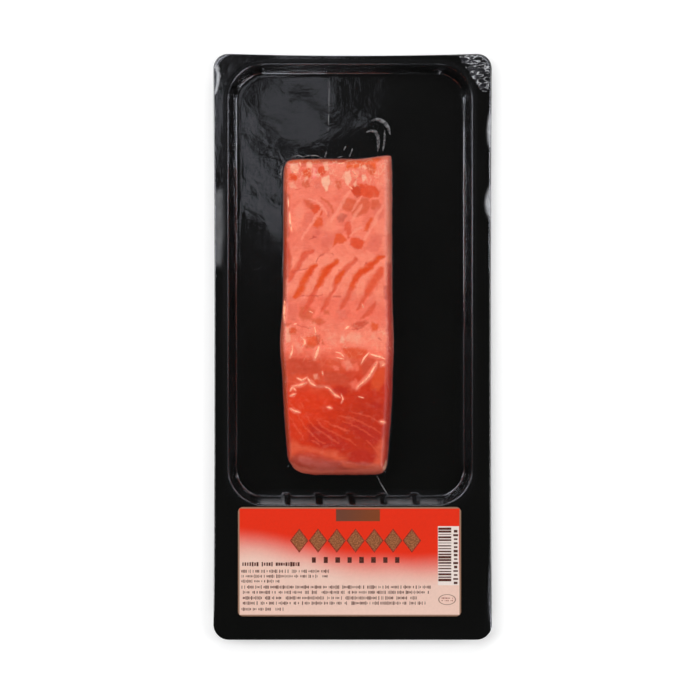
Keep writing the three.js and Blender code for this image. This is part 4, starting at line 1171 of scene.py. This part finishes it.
across = spaced(FILLET_SIZE[0] / 2, EDGE_BAND, BAND_STEPS[0], PLACES_ACROSS - 2 * BAND_STEPS[0])
along = spaced(FILLET_SIZE[1] / 2, END_BAND, BAND_STEPS[1], PLACES_ALONG - 2 * BAND_STEPS[1])
top = over_fillet(*np.meshgrid(across, along), FILM_LIFT).reshape(-1, 3)
inside = soft_step(top[:, 2], *UPPER_FACE)
far_end = soft_step(top[:, 1], *FACETED_FAR)
furrow = bell(top[:, 1], *FACETED_FURROW)
facets = crumple(top, 31, 4.2 * mm)
top[:, 2] += (FACETS[0] * far_end + FACETS[1] * furrow + FACETS[2]) * mm * facets * inside
top[:, 2] += (0.05 + 0.03 * furrow) * mm * waves(top, 33, 4 * mm)
border = grid_border(len(along), len(across))
edge = top[border]
rings = [np.column_stack((moved_out(edge[:, :2], out * mm), FLOOR + FILM_LIFT + (edge[:, 2] - FLOOR) * level))
         for out, level in DRAPE]
wall = well_wall(FILM_LIFT)[::-1]
start = moved_out(edge[:, :2], FOOT_GAP)
finish = pushed_by_ribs(rounded_box(WELL_SIZE - 2 * wall[0][0], WELL_CENTRE, WELL_CORNER - wall[0][0]), 1)
for step in range(FLOOR_RINGS):
    share = (step / FLOOR_RINGS) ** 1.5
    plan = start + (finish - start) * share
    rings.append(np.column_stack((plan, np.full(len(plan), FLOOR + FILM_LIFT))))
for inset, z in wall:
    plan = rounded_box(WELL_SIZE - 2 * inset, WELL_CENTRE, WELL_CORNER - inset)
    plan = pushed_by_ribs(plan, np.clip(inset / WALL_RUN, 0, 1))
    rings.append(np.column_stack((plan, np.full(len(plan), z))))
well_edge = rings[-1][:, :2]
pack_edge = bowed(rounded_box(PACK_SIZE, np.zeros(2), PACK_CORNER))
for share in FILM_SHARES:
    plan = well_edge + (pack_edge - well_edge) * share
    rings.append(np.column_stack((plan, np.full(len(plan), RIM + FILM_LIFT - band_drop(share)))))
outer = np.concatenate(rings)
outer[:, 2] += film_waves(outer)
numbers = [border] + [np.arange(len(border)) + len(top) + len(border) * k for k in range(len(rings))]
faces = [grid_faces(len(along), len(across))]
faces += [ring_faces(inner, following) for inner, following in zip(numbers, numbers[1:])]
places = np.concatenate((top, outer))
dull = np.zeros(len(places))
dull[:len(top) + len(border) * len(DRAPE)] = 1
for number, (inset, _) in enumerate(wall):
    first = len(top) + len(border) * (len(DRAPE) + FLOOR_RINGS + number)
    dull[first:first + len(border)] = BENT_DULL * (inset < BENT_INSET)
dull = patched(dull, places[:, :2], DULLED)
# Painted reflections on the rim and on the wall at the label end.
silver = patched(np.zeros(len(places)), places[:, :2], PAINTED_REFLECTIONS)
film = solid("skin_film", places, faces, {"silver": silver, "dull": dull})
film.data.materials.append(clear_film())
thicken(film, FILM, even=False)
film = frozen(film)
smoothed(film, 80)
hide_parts("film")
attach(film, "root")

# ---- Loose corner of the film -------------------------------------------------------------------------------
# At the far right corner the film isn't sealed down, so that it can be gripped: it lies crumpled on the rim.

LOOSE_OUTLINE = np.array((
    (51.0, 139.9), (56.3, 140.2), (60.0, 139.9), (63.0, 138.5), (65.4, 134.6), (65.7, 127.9), (65.0, 123.1),
    (63.8, 121.9), (61.4, 122.9), (58.2, 127.9), (55.4, 132.2), (52.5, 136.1),
)) * mm
LOOSE_RINGS = 26
LOOSE_STEPS = 110
CRUMPLE_HEIGHT = 1.5 * mm
LOOSE_GAP = 0.15 * mm
HELD_EDGE = 0.75  # share of the crumpling that is lost at the outline
TURNED_DOWN = (0.115, 0.13)  # how far from the well's middle the rim below begins and ends turning down


def crumpled_film():
    """Creased clear film: glints painted in silvery grey along its creases, and dark grey facets between, some nearly
    clear.
    """
    material, nodes, shader = new_material("Crumpled film")
    spot = nodes.add("ShaderNodeTexCoord", out="Object")
    turned = nodes.add("ShaderNodeMapping", None, {"Vector": spot, "Rotation": (0, 0, 1.0), "Scale": (260, 620, 260)})
    cells = {"Vector": turned, "Scale": 1.0}
    crease = nodes.add("ShaderNodeTexVoronoi", {"feature": "DISTANCE_TO_EDGE"}, cells, "Distance")
    facet = nodes.add("ShaderNodeTexVoronoi", {"feature": "F1"}, cells, "Color")
    streak = nodes.noise(spot, 500, 4)
    shade, _, _ = nodes.axes(facet)
    # Painted glints along the creases, broken up by streaks.
    glint_lines = nodes.smooth(crease, 0.12, 0.0) * nodes.smooth(streak, 0.35, 0.65)
    plug(shader["Base Color"], nodes.mixed(glint_lines, (0.06, 0.06, 0.07, 1), (0.75, 0.76, 0.78, 1)))
    plug(shader["Roughness"], 0.1 + 0.15 * streak)
    cover = 0.65 * glint_lines + 0.4 * nodes.smooth(shade, 0.35, 0.9)
    plug(shader["Alpha"], (cover + 0.04).clamped())
    return material


loop = np.concatenate((LOOSE_OUTLINE, LOOSE_OUTLINE[:1]))
gone = np.concatenate(((0,), np.cumsum(np.linalg.norm(np.diff(loop, axis=0), axis=1))))
even = np.linspace(0, gone[-1], LOOSE_STEPS, endpoint=False)
outline = np.stack([np.interp(even, gone, loop[:, part]) for part in range(2)], axis=1)[::-1]
middle = outline.mean(axis=0)
places = [np.append(middle, 0)]
for ring in range(1, LOOSE_RINGS + 1):
    plan = middle + (outline - middle) * ring / LOOSE_RINGS
    places += np.column_stack((plan, np.full(len(plan), ring / LOOSE_RINGS))).tolist()
places = np.array(places)
height = 0.7 * crumple(places, 61, 2.8 * mm) + 0.3 * crumple(places, 62, 1.4 * mm)
held_down = 1 - soft_step(places[:, 2], 0.9, 1) * HELD_EDGE
drop = RIM_DROP * soft_step(np.linalg.norm(places[:, :2] - WELL_CENTRE, axis=1), *TURNED_DOWN)
places[:, 2] = RIM + FILM_LIFT + LOOSE_GAP - drop * 0.5 + CRUMPLE_HEIGHT * height * held_down
rounds = [np.arange(LOOSE_STEPS) + 1 + LOOSE_STEPS * ring for ring in range(LOOSE_RINGS)]
faces = [np.stack((np.zeros(LOOSE_STEPS, int), rounds[0], np.roll(rounds[0], -1)), axis=1)]
faces += [ring_faces(inner, following) for inner, following in zip(rounds, rounds[1:])]
corner = solid("loose_corner", places, faces)
corner.data.materials.append(crumpled_film())
thicken(corner, FILM, even=False)
corner = frozen(corner)
smoothed(corner, 25)
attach(corner, "root")

# ---- Folds of the film --------------------------------------------------------------------------------------
# Where the film had slack it is pinched into thin raised folds, which catch the light and are painted pale as
# glints besides: short ones over the fillet, and longer ones that run out over the tray from the fillet's far end.

THINNEST = 0.02 * mm
FOLD_STEP = 0.4 * mm
FOLD_SIDES = 8


def folds_tree():
    """Beads along curves, thin at both ends."""
    nodes, given = geometry_tree("Pinched folds", {"Step": "Float", "Sides": "Int", "Material": "Material"})
    line = nodes.add("GeometryNodeMeshToCurve", None, {"Mesh": given["Geometry"]})
    radius = nodes.add("GeometryNodeInputNamedAttribute", {"data_type": "FLOAT"}, {"Name": "half_width"}, "Attribute")
    # The place for the captured number has to exist before it can be linked.
    kept = nodes.tree.nodes.new("GeometryNodeCaptureAttribute")
    kept.capture_items.new("FLOAT", "Half Width")
    plug(kept.inputs["Geometry"], line)
    plug(kept.inputs["Half Width"], radius)
    sockets = {"Curve": Wire(kept.outputs["Geometry"]), "Length": given["Step"]}
    even = nodes.add("GeometryNodeResampleCurve", {"mode": "LENGTH"}, sockets)
    share = nodes.add("GeometryNodeSplineParameter", out="Factor")
    taper = (share * (1 - share) * 4.0) ** 0.6
    size = Wire(kept.outputs["Half Width"]) * taper + THINNEST
    sockets = {"Resolution": given["Sides"], "Radius": 1.0}
    section = nodes.add("GeometryNodeCurvePrimitiveCircle", {"mode": "RADIUS"}, sockets, "Curve")
    sockets = {"Curve": even, "Profile Curve": section, "Scale": size, "Fill Caps": True}
    bead = nodes.add("GeometryNodeCurveToMesh", None, sockets)
    end_tree(nodes, bead, given["Material"])
    return nodes


def fold_film(name, dark, light, cover, painted_glow):
    """Film doubled on itself: milky. A painted glint pales it; over flesh a painted glow of the flesh's light tints it.
    """
    material, nodes, shader = new_material(name)
    streak = nodes.noise(nodes.add("ShaderNodeTexCoord", out="Object"), 420, 2)
    plug(shader["Base Color"], nodes.mixed(streak, dark, light))
    plug(shader["Roughness"], 0.3 + 0.2 * streak)
    plug(shader["Specular IOR Level"], 0.2)
    # Painted glow: the fold shines a little of itself, in its darker tint.
    plug(shader["Emission Color"], dark)
    plug(shader["Emission Strength"], painted_glow)
    plug(shader["Alpha"], cover * (0.55 + 0.7 * nodes.smooth(streak, 0.35, 0.65)))
    return material


def folds_base(name, folds, surface):
    """A base mesh with one edge path for each fold, laid on a surface, and its half width at each point."""
    points = []
    edges = []
    widths = []
    for half_width, *line in folds:
        plan = surface(line)
        edges += [(len(points) + k, len(points) + k + 1) for k in range(len(plan) - 1)]
        points += plan.tolist()
        widths += [half_width * mm] * len(plan)
    mesh = bpy.data.meshes.new(name)
    mesh.from_pydata(points, edges, [])
    mesh.attributes.new("half_width", "FLOAT", "POINT").data.foreach_set("value", widths)
    return mesh


def densely(plan, step):
    """A line with points added so that none of its pieces is longer than a step."""
    points = [plan[0]]
    for start, finish in zip(plan, plan[1:]):
        pieces = max(1, math.ceil(np.linalg.norm(finish - start) / step))
        points += [start + (finish - start) * k / pieces for k in range(1, pieces + 1)]
    return np.array(points)


def on_fillet(pixels):
    """A line of pixels laid on the film over the fillet."""
    plan = densely(seen_at(pixels, FILLET_TOP), 0.8 * mm)
    away = np.linalg.norm(top[None, :, :2] - plan[:, None], axis=2)
    return np.column_stack((plan, top[away.argmin(axis=1), 2]))


def on_floor(pixels):
    """A line of pixels laid on the film over the well's floor."""
    plan = densely(seen_at(pixels, FLOOR), 1.5 * mm)
    return np.column_stack((plan, np.full(len(plan), FLOOR + FILM_LIFT)))


tree = folds_tree()
over_flesh = fold_film("Film folded over flesh", (1.0, 0.36, 0.20, 1), (1.0, 0.64, 0.44, 1), 0.6, 0.3)
over_tray = fold_film("Film folded over plastic", (0.12, 0.12, 0.13, 1), (0.42, 0.42, 0.43, 1), 0.55, 0.0)
for name, folds, surface, folded in (("folds_on_fillet", [fold[1:] for fold in FILLET_FOLDS], on_fillet, over_flesh),
                                     ("folds_on_tray", TRAY_FOLDS, on_floor, over_tray)):
    base = folds_base(name + "_base", folds, surface)
    piece = grown(name, tree, {"Step": FOLD_STEP, "Sides": FOLD_SIDES, "Material": folded}, base)
    smoothed(piece, 80)
    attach(piece, "root")

# ---- Label --------------------------------------------------------------------------------------------------
# Coated paper stuck on the film at the label end: a thin brown-gold border, a red ground that fades to pale
# beige, a bare brown box, and a white panel for the bar code.

label_low, label_high = (np.array(corner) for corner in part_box("label"))
LABEL_TOP = label_high[2]
BORDER = 0.75 * mm
BROWN_BOX = np.array(((-8.0, -83.8), (13.1, -78.0))) * mm
CODE_PANEL = np.array(((40.9, -114.5), (51.0, -86.2))) * mm
SEAL_MARK = np.array((45.3, -121.4)) * mm
SEAL_HALF = np.array((4.3, 2.6)) * mm
SEAL_RING = 0.93  # share of the mark's size at which its ring is drawn
# The red fades to beige down the label, lower down towards the right.
FADE_HEIGHT = -94 * mm
FADE_FALL = 12 * mm
FADE_ACROSS = (-52 * mm, 10 * mm)  # between these places it falls
FADE_SPAN = (-10 * mm, 8 * mm)  # how far below and above that height it runs
FADE_WANDER = 5 * mm


def label_print():
    """Printed satin paper: a faint grain, and every field of colour placed in metres on the label."""
    material, nodes, shader = new_material("Printed label paper")
    spot = nodes.add("ShaderNodeTexCoord", out="Object")
    x, y, _ = nodes.axes(spot)

    def within(low, high, soft):
        """1 inside an upright box and 0 outside."""
        middle = (np.array(low) + np.array(high)) / 2
        half = (np.array(high) - np.array(low)) / 2
        across = half[0] - abs(x - float(middle[0]))
        upward = half[1] - abs(y - float(middle[1]))
        return nodes.smooth(across.math("MINIMUM", across, upward), -soft, soft)

    grain = nodes.noise(spot, 900, 3)
    cloud = nodes.noise(spot, 38, 2)
    fade_at = FADE_HEIGHT - FADE_FALL * nodes.smooth(x, *FADE_ACROSS) + (cloud - 0.5) * FADE_WANDER
    fade = nodes.smooth(y - fade_at, *FADE_SPAN)
    ground = nodes.mixed(fade, (0.89, 0.61, 0.51, 1), (0.82, 0.027, 0.004, 1))
    rightward = nodes.smooth(x, float(BROWN_BOX[0][0]), float(BROWN_BOX[1][0]))
    brown = nodes.mixed(rightward, (0.150, 0.050, 0.028, 1), (0.215, 0.052, 0.014, 1))
    ground = nodes.mixed(within(*BROWN_BOX, 0.25 * mm), ground, brown)
    ground = nodes.mixed(within(*CODE_PANEL, 0.1 * mm), ground, (0.88, 0.76, 0.70, 1))
    reach_x = (x - float(SEAL_MARK[0])) / float(SEAL_HALF[0])
    reach_y = (y - float(SEAL_MARK[1])) / float(SEAL_HALF[1])
    round_mark = (reach_x * reach_x + reach_y * reach_y) ** 0.5
    ring = 1 - nodes.smooth(abs(round_mark - SEAL_RING), 0.03, 0.09)
    ground = nodes.mixed(ring * 0.75, ground, (0.16, 0.05, 0.03, 1))
    inner = within(label_low[:2] + BORDER, label_high[:2] - BORDER, 0.12 * mm)
    colour = nodes.mixed(inner, (0.30, 0.17, 0.11, 1), ground)
    colour = nodes.mixed((grain - 0.5) * 0.12 + 0.06, colour, (0.05, 0.03, 0.02, 1))
    plug(shader["Base Color"], colour)
    plug(shader["Roughness"], 0.42 + 0.12 * grain)
    plug(shader["Specular IOR Level"], 0.25)
    plug(shader["Normal"], nodes.bump(grain, 0.15, 0.05 * mm))
    return material


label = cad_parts["label"]
label.data.materials.clear()
label.data.materials.append(label_print())

# ---- Label marks --------------------------------------------------------------------------------------------
# Print on the label, as thin marks of ink: the code's bars, rows of small blocks where the lines of words stand,
# and a plain row of lozenges in the title's place. None of it can be read. Sizes and places are in millimetres.

INK = 0.02 * mm
SIZE_SEED = 7  # added to a piece's seed for the sizes of its marks
DARK_INK = (0.060, 0.013, 0.007, 1)
GOLD_INK = (0.21, 0.070, 0.024, 1)
RED_INK = (0.20, 0.020, 0.008, 1)
TITLE = [((-25.6, -93.1), (28.4, -93.1))]
LINES_OF_WORDS = [  # left end, right end, height up the label
    (-53.1, -10.9, -107.8), (-53.1, -12.3, -110.2), (-53.1, -35.4, -112.6), (-53.1, 37.1, -115.4),
    (-53.1, 37.6, -117.9), (-53.1, 31.8, -120.6), (-53.1, 34.7, -123.1), (-53.1, -33.4, -126.0),
]


def marks_tree():
    """Marks of random size stood in rows along the edges of a base mesh, some left out."""
    nodes, given = geometry_tree("Rows of marks", {
        "Spacing": "Float", "Smallest": "Vector", "Largest": "Vector", "Left Out": "Float", "Sides Turned": "Float",
        "Seed": "Int", "Material": "Material",
    })
    rows = nodes.add("GeometryNodeMeshToCurve", None, {"Mesh": given["Geometry"]})
    placed = nodes.add("GeometryNodeResampleCurve", {"mode": "LENGTH"}, {"Curve": rows, "Length": given["Spacing"]})
    places = nodes.add("GeometryNodeCurveToPoints", {"mode": "EVALUATED"}, {"Curve": placed}, "Points")
    sockets = {"Probability": given["Left Out"], "Seed": given["Seed"]}
    dropped = nodes.add("FunctionNodeRandomValue", {"data_type": "BOOLEAN"}, sockets)
    kept = nodes.add("GeometryNodeDeleteGeometry", {"domain": "POINT"}, {"Geometry": places, "Selection": dropped})
    block = nodes.add("GeometryNodeMeshCylinder", None, {"Vertices": 4, "Radius": 0.5, "Depth": 1.0}, "Mesh")
    turned = nodes.add("ShaderNodeCombineXYZ", None, {"Z": given["Sides Turned"]})
    block = nodes.add("GeometryNodeTransform", None, {"Geometry": block, "Rotation": turned})
    sockets = {"Min": given["Smallest"], "Max": given["Largest"], "Seed": given["Seed"] + SIZE_SEED}
    size = nodes.add("FunctionNodeRandomValue", {"data_type": "FLOAT_VECTOR"}, sockets)
    marks = nodes.add("GeometryNodeInstanceOnPoints", None, {"Points": kept, "Instance": block, "Scale": size})
    end_tree(nodes, marks, given["Material"])
    return nodes


def ink(name, colour):
    """Printing ink, speckled where the paper shows through it."""
    material, nodes, shader = new_material(name)
    speckle = nodes.noise(nodes.add("ShaderNodeTexCoord", out="Object"), 1500, 2)
    lighter = tuple(min(1.0, part * 1.9 + 0.02) for part in colour[:3]) + (1,)
    plug(shader["Base Color"], nodes.mixed(nodes.smooth(speckle, 0.35, 0.75), colour, lighter))
    plug(shader["Roughness"], 0.4 + 0.2 * speckle)
    plug(shader["Specular IOR Level"], 0.2)
    return material


def rows_mesh(name, rows):
    """A base mesh with one edge for each row: (start, finish) on the label."""
    mesh = bpy.data.meshes.new(name)
    ends = [(*(np.array(end) * mm), LABEL_TOP + INK / 2) for row in rows for end in row]
    mesh.from_pydata(ends, [(2 * k, 2 * k + 1) for k in range(len(rows))], [])
    return mesh


def print_marks(name, tree, rows, spacing, smallest, largest, colour, left_out=0.0, lozenge=False, seed=1,
                thick=INK):
    """One kind of mark as its own piece; sizes are (along X, along Y)."""
    grow = 1.0 if lozenge else math.sqrt(2)
    sizes = {title: tuple(part * mm * grow for part in size) + (thick,)
             for title, size in (("Smallest", smallest), ("Largest", largest))}
    turned = 0.0 if lozenge else math.pi / 4
    values = {**sizes, "Spacing": spacing * mm, "Left Out": left_out, "Sides Turned": turned, "Seed": seed,
              "Material": ink(name.replace("_", " "), colour)}
    piece = grown(name, tree, values, rows_mesh(name + "_rows", rows))
    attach(piece, "root")


tree = marks_tree()
word_rows = [((left, y), (right, y)) for left, right, y in LINES_OF_WORDS]
print_marks("small_words", tree, word_rows, 0.66, (0.24, 0.8), (0.5, 1.75), DARK_INK, left_out=0.2, seed=5)
print_marks("bold_words", tree, [((-52.6, -104.4), (-24.8, -104.4))], 1.15, (0.55, 1.3), (1.05, 2.2), DARK_INK,
            left_out=0.14, seed=8)
print_marks("subtitle_marks", tree, [((-18.6, -102.4), (21.4, -102.4))], 5.7, (1.7, 2.5), (2.4, 3.0), DARK_INK,
            seed=3)
print_marks("title_edges", tree, TITLE, 9.0, (8.9, 11.6), (8.9, 11.6), RED_INK, lozenge=True, thick=0.6 * INK)
print_marks("title_marks", tree, TITLE, 9.0, (7.6, 9.9), (7.6, 9.9), GOLD_INK, lozenge=True)
print_marks("code_bars", tree, [((44.2, -87.4), (44.2, -112.0))], 1.3, (6.2, 0.3), (6.2, 1.25), DARK_INK, seed=12)
print_marks("code_digits", tree, [((49.4, -88.6), (49.4, -113.4))], 1.9, (1.5, 0.7), (2.4, 1.3), DARK_INK, seed=9)
print_marks("seal_words", tree, [((42.9, -120.7), (47.9, -120.7)), ((42.9, -121.9), (47.9, -121.9))], 0.7,
            (0.25, 0.4), (0.5, 0.8), RED_INK, left_out=0.2, seed=4)

# ---- Floor, lights and camera -------------------------------------------------------------------------------
# A white floor, faintly lit of itself, under a backdrop that is white only to the camera. Five soft lamps light the
# pack, and nine more are seen only in its gloss, where they make the film's glints. The camera looks straight down.

FLOOR_SIDE = 3.0
FLOOR_GLOW = 0.27
ROOM_LIGHT = 0.02
LAMPS = [  # place, size, strength
    ("overhead_lamp", (-0.42, 0.52, 1.25), (0.75, 0.75), 2.6),
    ("left_lamp", (-0.95, 0.1, 0.9), (0.6, 0.9), 3.6),
    ("right_lamp", (0.95, 0.1, 0.9), (0.6, 0.9), 3.6),
    ("far_lamp", (0.1, 1.05, 0.9), (0.9, 0.6), 3.4),
    ("near_lamp", (0.0, -1.05, 0.9), (0.9, 0.6), 3.0),
]
GLINTS = [
    ("softbox_left", (-0.113, 0.205, 1.2), (0.03, 0.2), 0.9),
    ("softbox_far", (-0.051, 0.285, 1.2), (0.09, 0.08), 0.5),
    ("right_glint", (1.15, 0.197, 0.6), (0.175, 0.7), 4.5),
    ("left_glint", (-1.15, 0.17, 0.6), (0.2, 0.7), 4.5),
    ("near_glint", (-0.075, -1.15, 0.6), (0.09, 0.7), 4.0),
    ("near_right_glint", (0.85, -0.7, 0.55), (1.0, 0.6), 3.5),
    ("far_right_glint", (0.75, 0.8, 0.6), (0.9, 0.6), 2.0),
    ("far_left_glint", (-0.75, 0.8, 0.6), (1.1, 0.6), 3.4),
    ("far_glint", (-0.012, 0.92, 1.0), (0.19, 0.36), 4.5),
]


def white_floor():
    """A matt white that glows a little, so that it comes out white all over."""
    material, _, shader = new_material("White floor")
    plug(shader["Base Color"], (0.9, 0.9, 0.9, 1))
    plug(shader["Roughness"], 0.8)
    plug(shader["Emission Color"], (1, 1, 1, 1))
    plug(shader["Emission Strength"], FLOOR_GLOW)
    return material


half = FLOOR_SIDE / 2
corners = np.array([(-half, -half, 0), (half, -half, 0), (half, half, 0), (-half, half, 0)])
floor = solid("studio_floor", corners, [np.array([[0, 1, 2, 3]])])
floor.data.materials.append(white_floor())


def lamp(name, place, size, strength, mirrored):
    """A soft rectangular lamp aimed at the pack. It either lights the scene or is only seen in gloss."""
    data = bpy.data.lights.new(name, "AREA")
    data.shape = "RECTANGLE"
    data.size, data.size_y = size
    data.energy = strength * size[0] * size[1] * math.pi
    data.color = (0.86, 0.88, 1.0) if mirrored else (1.0, 1.0, 1.0)
    piece = as_object(name, data)
    piece.location = place
    piece.rotation_euler = piece.location.to_track_quat("Z", "Y").to_euler()
    piece.visible_glossy = mirrored
    piece.visible_diffuse = not mirrored


for values in LAMPS:
    lamp(*values, mirrored=False)
for values in GLINTS:
    lamp(*values, mirrored=True)

world = bpy.data.worlds.new("Studio")
bpy.context.scene.world = world
world.use_nodes = True
nodes = Nodes(world.node_tree)
seen = nodes.add("ShaderNodeLightPath", out="Is Camera Ray")
backdrop = world.node_tree.nodes["Background"]
backdrop.inputs["Color"].default_value = (1, 1, 1, 1)
plug(backdrop.inputs["Strength"], ROOM_LIGHT + (1 - ROOM_LIGHT) * seen)
bpy.context.scene.view_settings.view_transform = "Standard"

camera_data = bpy.data.cameras.new("camera")
camera_data.lens = LENS
camera_data.sensor_width = SENSOR
camera = as_object("camera", camera_data)
camera.location = (*FRAME_CENTRE, EYE)
bpy.context.scene.camera = camera
